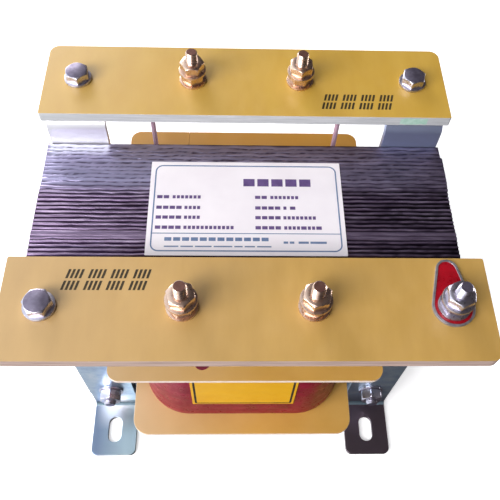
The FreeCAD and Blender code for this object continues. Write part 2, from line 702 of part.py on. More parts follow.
def lead(board, side):
    label = f"lead_{board}_{side}"
    kind = "output" if board == "front" else "input"
    body = new_body(label)
    run, bend, start = f"Place.{kind}_lead_run", "Size.lead_bend", "(Place.barrel_end - Size.lead_grip)"
    low = "-(Place.barrel_z - Place.coil_top)"
    path = new_sketch(body, f"{label}_path", "XZ")
    points = [(start, "0"), (f"{run} - {bend}", "0"), (run, f"-{bend}"), (run, low)]
    ends = [Vector(value(x), value(y), 0) for x, y in points]
    middle = Vector(value(f"{run} - {bend}"), value(f"-{bend}"), 0)
    level = path.addGeometry(Part.LineSegment(ends[0], ends[1]), False)
    drop = path.addGeometry(Part.LineSegment(ends[2], ends[3]), False)
    curve = Part.ArcOfCircle(Part.Circle(middle, Vector(0, 0, 1), value(bend)), 0, math.pi / 2)
    turn = path.addGeometry(curve, False)
    path.addConstraint(Sketcher.Constraint("Tangent", level, 2, turn, 2))
    path.addConstraint(Sketcher.Constraint("Tangent", turn, 1, drop, 1))
    pin(path, level, 1, *points[0])
    pin(path, drop, 2, *points[3])
    path.addConstraint(Sketcher.Constraint("Horizontal", level))
    path.addConstraint(Sketcher.Constraint("Vertical", drop))
    limit(path, "Radius", bend, turn)
    section = new_sketch(body, f"{label}_section", "YZ", start)
    circle(section, "0", "0", "Size.lead")
    pipe = body.newObject("PartDesign::AdditivePipe", f"{label}_pipe")
    pipe.Profile = section
    pipe.Spine = (path, [])
    body.Tip = pipe
    turn_to_lead(body, board, side)
    return body


def solid(kind, name, sizes, x="0", z="0"):
    """Part primitive with its sizes and place tied to expressions."""
    item = doc.addObject(kind, name)
    for key, text in sizes.items():
        item.setExpression(key, text)
    put(item, x, "0", z)
    return item


def tube_along(name, across, start, length):
    item = solid("Part::Cylinder", name, {"Radius": f"{across} / 2", "Height": length}, start)
    item.Placement.Rotation = Rotation(Vector(0, 1, 0), HALF_TURN / 2)
    put(item, start)
    return item


def lug(board, side):
    """Crimped ring lug: eye, neck and barrel, drawn with the barrel's axis at z = 0."""
    label = f"lug_{board}_{side}"
    tongue = "Size.lug_barrel_drop - Size.lug"
    eye = solid("Part::Cylinder", f"{label}_eye", {"Radius": "Size.lug_eye", "Height": "Size.lug"}, z=tongue)
    neck_sizes = {"Length": "Size.lug_barrel_start + Size.lug_barrel_wall", "Width": "Size.lug_neck",
                  "Height": "Size.lug"}
    neck = solid("Part::Box", f"{label}_neck", neck_sizes, z=tongue)
    neck.setExpression("Placement.Base.y", "-Size.lug_neck / 2")
    barrel = tube_along(f"{label}_barrel", "Place.barrel_across", "Size.lug_barrel_start",
                        "Size.lug_barrel_length")
    blank = doc.addObject("Part::MultiFuse", f"{label}_blank")
    blank.Shapes = [eye, neck, barrel]
    blank.Refine = True
    hole_sizes = {"Radius": "Place.screw_hole / 2", "Height": "3 * Size.lug"}
    hole = solid("Part::Cylinder", f"{label}_hole", hole_sizes, z=f"{tongue} - Size.lug")
    bore = tube_along(f"{label}_bore", "Place.barrel_bore", "Size.lug_barrel_start - Size.lug_barrel_wall",
                      "Size.lug_barrel_length + 2 * Size.lug_barrel_wall")
    tools = doc.addObject("Part::MultiFuse", f"{label}_tools")
    tools.Shapes = [hole, bore]
    part = doc.addObject("Part::Cut", label)
    part.Label = label
    part.Base = blank
    part.Tool = tools
    turn_to_lead(part, board, side)
    return part


def build():
    """Every sub-part, in the order in which the transformer is put together."""
    made = core()
    made += [bobbin_tube(),
             bobbin_flange("bobbin_flange_bottom", "Place.bobbin_bottom", "Size.cheek_corner", False),
             bobbin_flange("bobbin_flange_top", "Place.coil_top", "Size.top_cheek_corner", True)]
    made += coil() + [coil_label(), rating_label()]
    made += [foot_strip(board, side) for board, side in CORNERS]
    made += core_fasteners()
    made += [terminal_board("front"), terminal_board("rear")]
    made += board_fasteners() + terminals() + earth_terminal()
    made += [lug(board, side) for board, side in CORNERS]
    made += [lead(board, side) for board, side in CORNERS]
    return made


def export(parts):
    """Checks the whole document, then writes one file a sub-part."""
    doc.recompute()
    for item in doc.Objects:
        if "Invalid" in item.State or "Error" in item.State:
            raise RuntimeError(f"{item.Label} has the state {item.State}")
    for part in parts:
        if part.Shape.isNull() or not part.Shape.isValid():
            raise RuntimeError(f"{part.Label} has no valid shape")
    os.makedirs("parts", exist_ok=True)
    for part in parts:
        part.Shape.exportStep(f"parts/{part.Label}.step")
        print(part.Label, len(part.Shape.Solids), round(part.Shape.Volume))


export(build())
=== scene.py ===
"""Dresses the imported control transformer: sheet edges, fasteners, print, finishes, light and camera."""

import math
import random

import bmesh
import bpy
from mathutils import Matrix, Vector, noise


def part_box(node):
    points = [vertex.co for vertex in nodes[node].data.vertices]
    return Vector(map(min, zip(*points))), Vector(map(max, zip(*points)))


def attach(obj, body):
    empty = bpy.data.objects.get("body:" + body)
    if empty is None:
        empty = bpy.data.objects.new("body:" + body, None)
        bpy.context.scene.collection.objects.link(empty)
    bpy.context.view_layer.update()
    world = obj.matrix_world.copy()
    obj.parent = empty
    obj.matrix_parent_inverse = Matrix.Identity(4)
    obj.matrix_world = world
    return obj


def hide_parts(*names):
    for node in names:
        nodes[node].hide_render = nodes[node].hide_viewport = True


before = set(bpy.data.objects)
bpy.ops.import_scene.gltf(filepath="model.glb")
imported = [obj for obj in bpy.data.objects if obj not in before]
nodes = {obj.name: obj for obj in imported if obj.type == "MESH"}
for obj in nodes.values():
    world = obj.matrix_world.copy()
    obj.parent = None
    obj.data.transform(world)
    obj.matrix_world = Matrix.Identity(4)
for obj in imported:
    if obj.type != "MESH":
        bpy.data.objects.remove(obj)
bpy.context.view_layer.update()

MM = 0.001
WELD = 0.002 * MM
UP = Vector((0, 0, 1))
FRONT = Vector((0, -1, 0))
random.seed(7)


def clamped(value, low=0.0, high=1.0):
    """A value held between two limits."""
    return min(high, max(low, value))


def smooth_noise(*place):
    """Smooth noise from about -1 to 1."""
    return noise.noise(Vector(place))


# Finishes

GRAIN_ROUGHNESS = 0.6
GRAIN_LOW, GRAIN_HIGH = 0.3, 0.7
SPOTS_LOW, SPOTS_HIGH = 0.32, 0.68
GLOSS_SIZE, GLOSS_LEAST, GLOSS_MOST = 0.4, 0.8, 1.25
MIX_FACTOR, MIX_FIRST, MIX_SECOND, MIX_RESULT = 0, 6, 7, 2


def rgb(red, green, blue):
    """The linear colour of an 8 bit screen colour."""

    def linear(value):
        value /= 255
        return value / 12.92 if value <= 0.04045 else ((value + 0.055) / 1.055) ** 2.4

    return (linear(red), linear(green), linear(blue), 1.0)


class Shading:
    """The node tree of a material or of the world, with short calls for its nodes."""

    def __init__(self, owner, shader, place):
        owner.use_nodes = True
        self.tree = owner.node_tree
        self.shader = self.tree.nodes[shader]
        self.place = self.node("ShaderNodeTexCoord", place)

    def feed(self, target, value):
        """Gives an input a value or links an output to it."""
        if isinstance(value, bpy.types.NodeSocket):
            self.tree.links.new(value, target)
        else:
            target.default_value = value

    def set(self, socket, value):
        """Feeds an input of the shader."""
        self.feed(self.shader.inputs[socket], value)

    def node(self, kind, output, **inputs):
        """A node with its inputs fed by name, and one of its outputs."""
        made = self.tree.nodes.new(kind)
        for socket, value in inputs.items():
            self.feed(made.inputs[socket.replace("_", " ")], value)
        return made.outputs[output]

    def ramp(self, factor, *stops):
        """Colours along a factor, each stop a position and a colour."""
        made = self.node("ShaderNodeValToRGB", "Color", Fac=factor)
        band = made.node.color_ramp.elements
        while len(band) < len(stops):
            band.new(0.5)
        for element, (position, colour) in zip(band, stops):
            element.position = position
            element.color = colour
        return made


class Finish(Shading):
    """A procedural material."""

    def __init__(self, name, colour, roughness, metallic=0.0, **sockets):
        self.material = bpy.data.materials.new(name)
        super().__init__(self.material, "Principled BSDF", "Object")
        self.set("Base Color", colour)
        self.set("Roughness", roughness)
        self.set("Metallic", metallic)
        for socket, value in sockets.items():
            self.set(socket.replace("_", " "), value)

    def grain(self, size, stretch=(1, 1, 1), detail=4.0):
        """Noise with spots of a size in millimetres, longer along an axis where stretch is over one."""
        scale = [1 / (size * MM * along) for along in stretch]
        spread = self.node("ShaderNodeMapping", "Vector", Vector=self.place, Scale=scale)
        return self.node(
            "ShaderNodeTexNoise", "Fac", Vector=spread, Scale=1.0, Detail=detail, Roughness=GRAIN_ROUGHNESS
        )

    def bands(self, direction, scale, waver):
        """Wavy bands along a direction."""
        made = self.node("ShaderNodeTexWave", "Fac", Vector=self.place, Scale=scale / MM, Distortion=waver)
        made.node.bands_direction = direction
        return made

    def scaled(self, factor, low, high, start=0.0, end=1.0):
        """A factor from start to end carried to the range from low to high."""
        spans = {"From_Min": start, "From_Max": end, "To_Min": low, "To_Max": high}
        return self.node("ShaderNodeMapRange", "Result", Value=factor, **spans)

    def mixed(self, factor, first, second):
        """Two colours mixed by a factor."""
        made = self.tree.nodes.new("ShaderNodeMix")
        made.data_type = "RGBA"
        for index, value in ((MIX_FACTOR, factor), (MIX_FIRST, first), (MIX_SECOND, second)):
            self.feed(made.inputs[index], value)
        return made.outputs[MIX_RESULT]

    def attribute(self, name):
        """A number that the mesh keeps for each vertex."""
        made = self.node("ShaderNodeAttribute", "Fac")
        made.node.attribute_name = name
        return made

    def along(self, axis, start, end):
        """From nought to one between two places in millimetres along an axis."""
        split = self.node("ShaderNodeSeparateXYZ", axis, Vector=self.place)
        return self.scaled(split, 0.0, 1.0, start * MM, end * MM)

    def joined(self, operation, first, second):
        """Two factors joined by an operation."""
        made = self.tree.nodes.new("ShaderNodeMath")
        made.operation = operation
        for socket, value in zip(made.inputs, (first, second)):
            self.feed(socket, value)
        return made.outputs["Value"]

    def gloss(self, spots, smooth, matt):
        """Roughness that follows soft spots from a smooth value to a matt one."""
        self.set("Roughness", self.scaled(spots, smooth, matt, GRAIN_LOW, GRAIN_HIGH))

    def bump(self, height, depth):
        """Relief of a depth in millimetres from a height factor."""
        relief = self.node("ShaderNodeBump", "Normal", Height=height, Strength=1.0, Distance=depth * MM)
        self.set("Normal", relief)


def varied(name, low, high, roughness, metallic=0.0, size=12.0, stretch=(1, 1, 1), relief=None, **sockets):
    """A finish that drifts between two tones in soft spots; relief is a size and depth in millimetres."""
    finish = Finish(name, low, roughness, metallic, **sockets)
    spots = finish.grain(size, stretch)
    finish.set("Base Color", finish.ramp(spots, (SPOTS_LOW, low), (SPOTS_HIGH, high)))
    finish.gloss(finish.grain(size * GLOSS_SIZE, stretch), roughness * GLOSS_LEAST, roughness * GLOSS_MOST)
    if relief:
        finish.bump(finish.grain(relief[0], stretch), relief[1])
    return finish


BOARD_SHEEN_X = (30, -105)
CLOTH_SCALE, CLOTH_RELIEF = 0.55, 0.004


def laminate(name, low, high, sheen_amount):
    """Glass cloth laminate: satin resin over a fine weave, clouded in soft streaks, and paler at left with a
    painted sheen.
    """
    finish = Finish(name, low, 0.4, Specular_IOR_Level=0.9, Coat_Weight=0.25, Coat_Roughness=0.16)
    clouds = finish.grain(26.0, stretch=(0.5, 1.6, 1), detail=5)
    resin = finish.ramp(clouds, (GRAIN_LOW, low), (GRAIN_HIGH, high))
    # Painted sheen: the resin is mixed toward a pale haze toward the left, standing in for the bright
    # reflection there.
    painted_sheen = finish.scaled(finish.along("X", *BOARD_SHEEN_X), 0.0, sheen_amount)
    finish.set("Base Color", finish.mixed(painted_sheen, resin, rgb(190, 162, 130)))
    threads = [finish.bands(direction, CLOTH_SCALE, 0.6) for direction in ("X", "Y")]
    finish.gloss(finish.grain(7.0), 0.34, 0.5)
    finish.bump(finish.joined("ADD", *threads), CLOTH_RELIEF)
    return finish


FLANGE_SHEEN_X, FLANGE_SHEEN_Y, FLANGE_SHEEN = (10, -68), (30, -30), 0.5
FLANGE_SHADE_Y, FLANGE_SHADE = (40, 74), 0.6


def bobbin_board():
    """Satin laminate of the bobbin's flanges, paler at the front left with a painted sheen and a deeper
    orange behind with painted shade under the rear board.
    """
    finish = Finish("flange_face", rgb(200, 152, 84), 0.4, Specular_IOR_Level=0.9)
    spots = finish.grain(34.0)
    face = finish.ramp(spots, (SPOTS_LOW, rgb(194, 147, 66)), (SPOTS_HIGH, rgb(205, 159, 80)))
    # Painted sheen: paler toward the front left.
    corner = finish.joined("MULTIPLY", finish.along("X", *FLANGE_SHEEN_X), finish.along("Y", *FLANGE_SHEEN_Y))
    face = finish.mixed(finish.scaled(corner, 0.0, FLANGE_SHEEN), face, rgb(203, 182, 156))
    # Painted shade: a deeper orange toward the back, under the rear board.
    painted_shade = finish.scaled(finish.along("Y", *FLANGE_SHADE_Y), 0.0, FLANGE_SHADE)
    finish.set("Base Color", finish.mixed(painted_shade, face, rgb(208, 142, 34)))
    finish.gloss(finish.grain(13.0), 0.32, 0.5)
    finish.bump(finish.grain(0.6), 0.02)
    return finish


# The last number is the strength of each board's painted sheen at left.
front_face = laminate("front_laminate", rgb(176, 138, 68), rgb(189, 150, 80), 0.34)
rear_face = laminate("rear_laminate", rgb(190, 149, 56), rgb(198, 159, 66), 0.22)
LAYERS = {"size": 2.0, "stretch": (12, 12, 0.4)}
board_edge = varied("board_edge", rgb(172, 174, 176), rgb(200, 201, 203), 0.55, **LAYERS)
front_edge = varied("front_edge", rgb(158, 133, 123), rgb(202, 176, 165), 0.6, **LAYERS)
flange_face = bobbin_board()
flange_edge = varied("flange_edge", rgb(226, 205, 190), rgb(244, 228, 218), 0.55, size=3.0)
POLISH = {"size": 5.0, "relief": (0.8, 0.001)}
BRASS_COAT = {"Coat_Weight": 0.8, "Coat_Roughness": 0.22, "Coat_IOR": 1.8}
STEEL_COAT = {"Coat_Weight": 0.5, "Coat_Roughness": 0.2}
brass = varied("brass", rgb(208, 172, 152), rgb(224, 194, 174), 0.28, 1.0, **POLISH, **BRASS_COAT)
zinc_steel = varied("zinc_steel", rgb(186, 181, 196), rgb(212, 208, 222), 0.3, 1.0, **POLISH, **STEEL_COAT)
# Flat stud ends and bolt head tops: a duller cut face, and darker colours that are painted shade for the dark
# these flat tops reflect.
CUT = {"metallic": 0.9, "relief": (0.6, 0.01)}
shaded_brass_end = varied("shaded_brass_end", rgb(116, 80, 74), rgb(136, 98, 88), 0.5, size=2.0, **CUT)
shaded_steel_end = varied("shaded_steel_end", rgb(110, 103, 122), rgb(136, 129, 148), 0.48, size=3.0, **CUT)
enamel = varied("enamel", rgb(134, 6, 20), rgb(158, 10, 28), 0.3, size=5.0, relief=(1.5, 0.02))
tag_rim = varied("tag_rim", rgb(150, 148, 156), rgb(182, 180, 188), 0.4, 0.8, size=3.0)
tinned = varied("tinned", rgb(180, 178, 172), rgb(214, 212, 206), 0.3, 1.0, size=3.0)
copper = varied("copper", rgb(170, 84, 40), rgb(200, 110, 60), 0.35, 0.9, size=4.0)
fish_paper = varied("fish_paper", rgb(214, 206, 180), rgb(228, 220, 196), 0.8, size=6.0)
sticker_yellow = varied("sticker_yellow", rgb(232, 170, 16), rgb(240, 182, 30), 0.35, size=20.0)
label_paper = varied("label_paper", rgb(236, 229, 235), rgb(243, 237, 242), 0.4, size=30.0)
ink_purple = varied("ink_purple", rgb(84, 62, 112), rgb(104, 80, 134), 0.5, size=3.0)
ink_blue = varied("ink_blue", rgb(92, 112, 150), rgb(112, 132, 168), 0.5, size=3.0)
ink_brown = varied("ink_brown", rgb(34, 25, 6), rgb(58, 44, 14), 0.6, size=1.5)
ink_black = varied("ink_black", rgb(14, 10, 10), rgb(26, 20, 18), 0.6, size=3.0)
patch_green = varied("patch_green", rgb(158, 196, 178), rgb(184, 212, 198), 0.5, size=3.0)

ZINC_METAL = 0.88
ZINC_TONES = ((0.3, rgb(158, 178, 208)), (0.52, rgb(184, 204, 222)), (0.7, rgb(208, 218, 230)))
# Heights of the painted tone on the foot and on top, and places of the painted reflections on the left foot
FOOT_PAINTED_Z, TOP_PAINTED_Z = (22, 3), (168, 186)
REFLECTION_SIDE_X, SHINE_FROM_X, SHINE_TO_X, SHINE_Y = (-99, -80), (-102, -93), (-74, -84), (-62, -46)


def zinc_plate(name, foot_painted_tone, top_painted_tone=None, top_metal=ZINC_METAL, painted_foot_reflections=False):
    """Blue passivated zinc in soft clouds, with a painted tone near the panel and on top: painted light on
    the left plates and painted shade on the right ones.
    """
    finish = Finish(name, rgb(182, 200, 222), 0.32, ZINC_METAL)
    plate = finish.ramp(finish.grain(11.0), *ZINC_TONES)
    if painted_foot_reflections:
        # Painted reflections on the left foot: paler toward its right, and a painted highlight in the middle
        # near the fold.
        foot_painted_tone = finish.mixed(finish.along("X", *REFLECTION_SIDE_X), foot_painted_tone, rgb(186, 206, 214))
        middle = finish.joined("MULTIPLY", finish.along("X", *SHINE_FROM_X), finish.along("X", *SHINE_TO_X))
        painted_shine = finish.joined("MULTIPLY", middle, finish.along("Y", *SHINE_Y))
        foot_painted_tone = finish.mixed(painted_shine, foot_painted_tone, rgb(250, 248, 252))
    # Painted tone on the foot.
    plate = finish.mixed(finish.along("Z", *FOOT_PAINTED_Z), plate, foot_painted_tone)
    if top_painted_tone:
        # Painted tone on top.
        top = finish.along("Z", *TOP_PAINTED_Z)
        plate = finish.mixed(top, plate, top_painted_tone)
        finish.set("Metallic", finish.scaled(top, ZINC_METAL, top_metal))
    finish.set("Base Color", plate)
    finish.gloss(finish.grain(3.0), 0.29, 0.38)
    finish.bump(finish.grain(0.8, stretch=(1, 8, 8)), 0.001)
    return finish


def lead_sleeve():
    """Pale lilac braided sleeve: slanting strands and a soft sheen."""
    finish = Finish("sleeve", rgb(196, 160, 182), 0.5)
    strands = finish.bands("DIAGONAL", 0.5, 1.5)
    finish.set("Base Color", finish.ramp(strands, (0.2, rgb(156, 112, 140)), (0.7, rgb(224, 192, 210))))
    finish.bump(strands, 0.08)
    return finish


# Copies of one zinc: the left plates carry painted light and painted reflections, the right ones painted
# shade.
zinc_lit_left = zinc_plate("zinc_lit_left", rgb(132, 150, 178), painted_foot_reflections=True)
zinc_shaded_right = zinc_plate("zinc_shaded_right", rgb(114, 100, 109))
zinc_top_lit = zinc_plate("zinc_top_lit", rgb(172, 186, 208), rgb(218, 216, 222), 0.55)
zinc_top_shaded = zinc_plate("zinc_top_shaded", rgb(172, 186, 208), rgb(162, 172, 204), 0.75)
# Painted shade in the inner fold of each foot.
zinc_fold_shade = varied("zinc_fold_shade", rgb(104, 122, 134), rgb(124, 142, 154), 0.55, 0.95, size=6.0)
sleeve = lead_sleeve()

RIDGE_TONES = ((0.3, rgb(110, 93, 120)), (0.55, rgb(152, 134, 164)), (0.75, rgb(190, 174, 202)))
# How far the painted rear sheen, the painted bracket reflection and the ridge tint with its painted shade
# move the colour
REAR_SHEEN_PALE, BRACKET_REFLECTION_PALE, TINT_AND_SHADE_DARK = 0.6, 0.85, 0.3


def sheet_edges():
    """Cut edges of the core sheets: lilac grey ridges with varnish streaks and a tint of their own, with
    painted shade in the grooves, in worn dips and toward the right, a painted sheen toward the rear and a
    painted reflection of the brackets along the rear edge.
    """
    finish = Finish("sheet_edges", rgb(128, 118, 138), 0.4, 0.8)
    streaks = finish.grain(1.6, stretch=(9, 1, 4), detail=5)
    rear = finish.attribute("rear")
    ridge = finish.ramp(streaks, *RIDGE_TONES)
    # Painted sheen toward the rear.
    pale = finish.mixed(finish.scaled(rear, 0.0, REAR_SHEEN_PALE), ridge, rgb(188, 188, 226))
    # Painted reflection of the brackets along the rear edge.
    bracket_reflection = finish.mixed(finish.scaled(rear, 0.0, BRACKET_REFLECTION_PALE, 1.0, 2.0), pale, rgb(232, 236, 250))
    # The tint holds a random tint of each ridge and painted shade toward the right.
    tint = finish.attribute("tint")
    tinted_and_shaded = finish.mixed(finish.scaled(tint, 0.0, TINT_AND_SHADE_DARK), bracket_reflection, rgb(72, 62, 80))
    # Painted shade in the grooves and worn dips.
    deep = finish.mixed(tint, rgb(40, 16, 52), rgb(14, 9, 12))
    finish.set("Base Color", finish.mixed(finish.attribute("groove"), tinted_and_shaded, deep))
    finish.gloss(streaks, 0.28, 0.44)
    finish.bump(finish.grain(0.7, stretch=(10, 1, 4)), 0.03)
    return finish


def sheet_face():
    """The flat of the outermost sheet: dark blue grey steel with rolling marks."""
    finish = Finish("sheet_face", rgb(96, 100, 116), 0.4, 0.8)
    rolled = finish.grain(1.0, stretch=(14, 14, 1))
    steel = finish.ramp(rolled, (GRAIN_LOW, rgb(82, 86, 100)), (GRAIN_HIGH, rgb(120, 124, 140)))
    finish.set("Base Color", steel)
    finish.gloss(rolled, 0.34, 0.5)
    return finish


TAPE_TONES = ((0.3, rgb(114, 2, 36)), (0.5, rgb(133, 3, 44)), (0.7, rgb(152, 9, 58)))


def red_tape():
    """Glossy crimson wrap, with faint mottling, creases and a lap along its lower end that is painted paler
    as a reflection of the flange.
    """
    finish = Finish("red_tape", rgb(124, 6, 18), 0.3, Specular_IOR_Level=0.2)
    red = finish.ramp(finish.grain(7.0, stretch=(1.5, 1.5, 1), detail=6), *TAPE_TONES)
    # Painted reflection of the flange: the lap is mixed toward a paler red.
    finish.set("Base Color", finish.mixed(finish.attribute("lap"), red, rgb(146, 22, 42)))
    finish.gloss(finish.grain(4.0), 0.24, 0.42)
    finish.bump(finish.grain(6.0, stretch=(2, 2, 1), detail=2), 0.05)
    return finish


core_edges = sheet_edges()
core_face = sheet_face()
red_wrap = red_tape()


# Pieces


def put(name, data):
    """An object with some data, linked to the scene."""
    made = bpy.data.objects.new(name, data)
    bpy.context.scene.collection.objects.link(made)
    return made


CREASE, EASED_CREASE, ROUNDED_CREASE = 35.0, 40.0, 50.0
FLAT_ANGLE, SHARP_ANGLE = math.radians(1.0), math.radians(30.0)
SORT_DIGITS = 4
EDGE_NORMAL = 0.5
FOLD_NORMAL, FOLD_ASIDE = (0.3, 0.97), 0.2
FOLD_TOP, FOLD_REACH = 8 * MM, 48 * MM


def skin(bm, rings, material=0):
    """Joins rings of as many points each by faces."""
    for lower, upper in zip(rings, rings[1:]):
        for index in range(len(lower)):
            after = (index + 1) % len(lower)
            face = bm.faces.new((lower[index], lower[after], upper[after], upper[index]))
            face.material_index = material


def closed(bm, rings, material=0, cap=0):
    """Joins rings by faces and closes both ends, the far one with a finish of its own."""
    skin(bm, rings, material)
    bm.faces.new(rings[-1]).material_index = cap
    bm.faces.new(rings[0][::-1]).material_index = material


def rounded_corners(half_x, half_y, corner, parts):
    """The centre of each corner of a rounded rectangle, and the directions round it."""
    for turn in range(4):
        centre_x = (half_x - corner) * (1 if turn in (0, 3) else -1)
        centre_y = (half_y - corner) * (1 if turn in (0, 1) else -1)
        angles = [math.radians(90 * turn + 90 * part / parts) for part in range(parts + 1)]
        yield centre_x, centre_y, [(math.cos(angle), math.sin(angle)) for angle in angles]


def add_piece(name, bm, finishes, stands_for=(), crease=CREASE, flat_faces=False):
    """Makes a piece of a mesh, rides it on the part and hides the nodes it stands for."""
    mesh = bpy.data.meshes.new(name)
    bmesh.ops.recalc_face_normals(bm, faces=bm.faces[:])
    bm.to_mesh(mesh)
    bm.free()
    for finish in finishes:
        mesh.materials.append(finish.material)
    for polygon in mesh.polygons:
        polygon.use_smooth = True
    mesh.set_sharp_from_angle(angle=math.radians(crease))
    piece = put(name, mesh)
    if flat_faces:
        shading = piece.modifiers.new("flat_faces", "WEIGHTED_NORMAL")
        shading.keep_sharp = True
    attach(piece, "root")
    if stands_for:
        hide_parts(*stands_for)


def dress(node, finish):
    """Gives a node's own mesh a finish."""
    for slot in nodes[node].material_slots:
        slot.material = finish.material


def extent(points):
    """The lowest and the highest corner round some points."""
    return [Vector([limit(values) for values in zip(*points)]) for limit in (min, max)]


def welded(node):
    """A copy of a node's mesh with its corners joined."""
    bm = bmesh.new()
    bm.from_mesh(nodes[node].data)
    bmesh.ops.remove_doubles(bm, verts=bm.verts[:], dist=WELD)
    return bm


def solids_of(node):
    """The box round each solid of a node, from left to right, front to back and up."""
    bm = welded(node)
    unseen = set(bm.verts)
    boxes = []
    while unseen:
        found, rim = set(), {unseen.pop()}
        while rim:
            found |= rim
            rim = {edge.other_vert(v) for v in rim for edge in v.link_edges} - found
        unseen -= found
        boxes.append(extent([v.co for v in found]))
    bm.free()
    return sorted(boxes, key=lambda box: [round(c, SORT_DIGITS) for c in box[0] + box[1]])


def eased(name, node, finishes, ease, choose=None, adjust=None):
    """A node's own shape with its sharp edges rounded, each face given one of the finishes."""
    bm = welded(node)
    bmesh.ops.dissolve_limit(bm, angle_limit=FLAT_ANGLE, verts=bm.verts[:], edges=bm.edges[:])
    sharp = [edge for edge in bm.edges if edge.is_manifold and edge.calc_face_angle() > SHARP_ANGLE]
    how = {"offset_type": "OFFSET", "segments": 2, "profile": 0.5, "affect": "EDGES", "clamp_overlap": True}
    bmesh.ops.bevel(bm, geom=sharp, offset=ease * MM, **how)
    if choose:
        bm.normal_update()
        for face in bm.faces:
            face.material_index = choose(face.calc_center_median(), face.normal)
    if adjust:
        for vertex in bm.verts:
            adjust(vertex)
    add_piece(name, bm, finishes, [node], EASED_CREASE, flat_faces=True)


def edge_or_face(centre, normal):
    """One for the cut edge of a board, nought for its faces."""
    return int(abs(normal.z) < EDGE_NORMAL)


def fold_or_flat(centre, normal):
    """One for the inner fold between the foot and the upright, which takes a painted shade, nought for the
    rest of a foot.
    """
    slants = FOLD_NORMAL[0] < normal.z < FOLD_NORMAL[1] and abs(normal.x) < FOLD_ASIDE
    return int(slants and centre.z < FOLD_TOP and abs(centre.y) < FOLD_REACH)


# Turned pieces: rings of points round an axis, at levels along it

ROUND_STEPS = 64
ROUND = [360 * step / ROUND_STEPS for step in range(ROUND_STEPS)]
CORNER_STEPS = (0, 1.6, 5, 10, 16, 23, 30, 37, 44, 50, 55, 58.4)
HEXAGON = [60 * side + step for side in range(6) for step in CORNER_STEPS]
CORNER_EASE = 0.985
CROWN = 0.95
CHAMFER_SHARES = (0.0, 0.12, 0.3, 0.5, 0.75, 1.0)
HALF_SIDE, CHAMFER_SLOPE = math.radians(30), math.tan(math.radians(30))
RING_EASE, RING_EASE_MOST, RING_EASE_SHARE = 0.25 * MM, 1 / 3, 0.3
THREAD_DEPTH, RINGS_PER_PITCH = 0.36, 7


def turned(bm, centre, along, turn, angles, levels, radius_at, bore=0.0, cap=0):
    """Adds a body of rings about an axis, cap its far end's finish."""
    spin = UP.rotation_difference(along).to_matrix() @ Matrix.Rotation(math.radians(turn), 3, "Z")

    def ring(level, inside=False):
        made = []
        for degrees in angles:
            angle = math.radians(degrees)
            radius = bore if inside else radius_at(degrees, level)
            spot = Vector((radius * math.cos(angle), radius * math.sin(angle), level))
            made.append(bm.verts.new(centre + spin @ spot))
        return made

    rings = [ring(level) for level in levels]
    if bore:
        rings = [ring(levels[0], True), *rings, ring(levels[-1], True)]
        skin(bm, [*rings, rings[0]])
    else:
        closed(bm, rings, cap=cap)


def hexagon_piece(bm, centre, along, turn, flats, low, high, bore=0.0, chamfer_low=True, cap=0):
    """A nut or bolt head: a hexagon with eased corners and ends chamfered by a cone of 30 degrees."""
    half = flats / 2
    corner = half / math.cos(HALF_SIDE)
    face = half * CROWN
    depth = (corner - face) * CHAMFER_SLOPE
    steps = [depth * share for share in CHAMFER_SHARES]
    levels = [low + step for step in steps] if chamfer_low else [low]
    levels += [high - step for step in reversed(steps)]

    def radius_at(degrees, level):
        side = half / math.cos(math.radians(degrees % 60) - HALF_SIDE)
        reach = min(side, corner * CORNER_EASE, face + (high - level) / CHAMFER_SLOPE)
        return min(reach, face + (level - low) / CHAMFER_SLOPE) if chamfer_low else reach

    turned(bm, centre, along, turn, HEXAGON, levels, radius_at, bore, cap)


def washer(bm, centre, along, outer, bore, low, high):
    """A flat ring with its outer edges rounded."""
    ease = min(RING_EASE, (high - low) * RING_EASE_MOST)
    near = ease * RING_EASE_SHARE
    levels = [low, low + near, low + ease, high - ease, high - near, high]

    def radius_at(degrees, level):
        inside = max(0.0, ease - (level - low), ease - (high - level))
        return outer - (ease - math.sqrt(max(0.0, ease**2 - inside**2)))

    turned(bm, centre, along, 0, ROUND, levels, radius_at, bore)


def threaded(bm, centre, along, major, pitch, low, high, chamfer, cap=0):
    """A screw's end with a helical thread and a chamfer at its tip."""
    depth = THREAD_DEPTH * pitch
    count = max(2, math.ceil((high - low) / pitch * RINGS_PER_PITCH))
    levels = [low + (high - low) * step / count for step in range(count + 1)]

    def radius_at(degrees, level):
        phase = (level / pitch - degrees / 360) % 1.0
        cut = depth * (0.5 - 0.5 * math.cos(2 * math.pi * phase))
        tip = major / 2 - chamfer + (high - level)
        return min(major / 2 - cut, tip)

    turned(bm, centre, along, 0, ROUND, levels, radius_at, cap=cap)


def plain_shank(bm, centre, along, radius, low, high):
    """A plain round between two levels."""
    turned(bm, centre, along, 0, ROUND, [low, high], lambda degrees, level: radius)


# Core: one skin of ridges and grooves round the sheets, with the outer sheets' faces

CORE_NODES = ("e_laminations_upright", "e_laminations_inverted", "i_laminations_bottom", "i_laminations_top")
core_low, core_high = extent([corner for node in CORE_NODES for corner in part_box(node)])
HEIGHT_IN_LIMBS = 2.5
LIMB = (core_high.z - core_low.z) / HEIGHT_IN_LIMBS
WINDOWS = ((-LIMB, -LIMB / 2), (LIMB / 2, LIMB))
OUTER_STEPS, WINDOW_STEPS = (150, 70, 30), (5, 14, 5)
RIDGES = 33
GROOVE, GROOVE_LEAST, REAR_SHALLOW = 0.7 * MM, 0.06, 0.5
LIFT = 0.14 * MM
FLAT_BAND = (-18.5 * MM, -14.0 * MM)
FLAT_TO, FLAT_GROOVE, FLAT_END = 0.7, 0.05, 0.5
EVEN_FROM, EVEN_BLEND = 12.0 * MM, 7 * MM
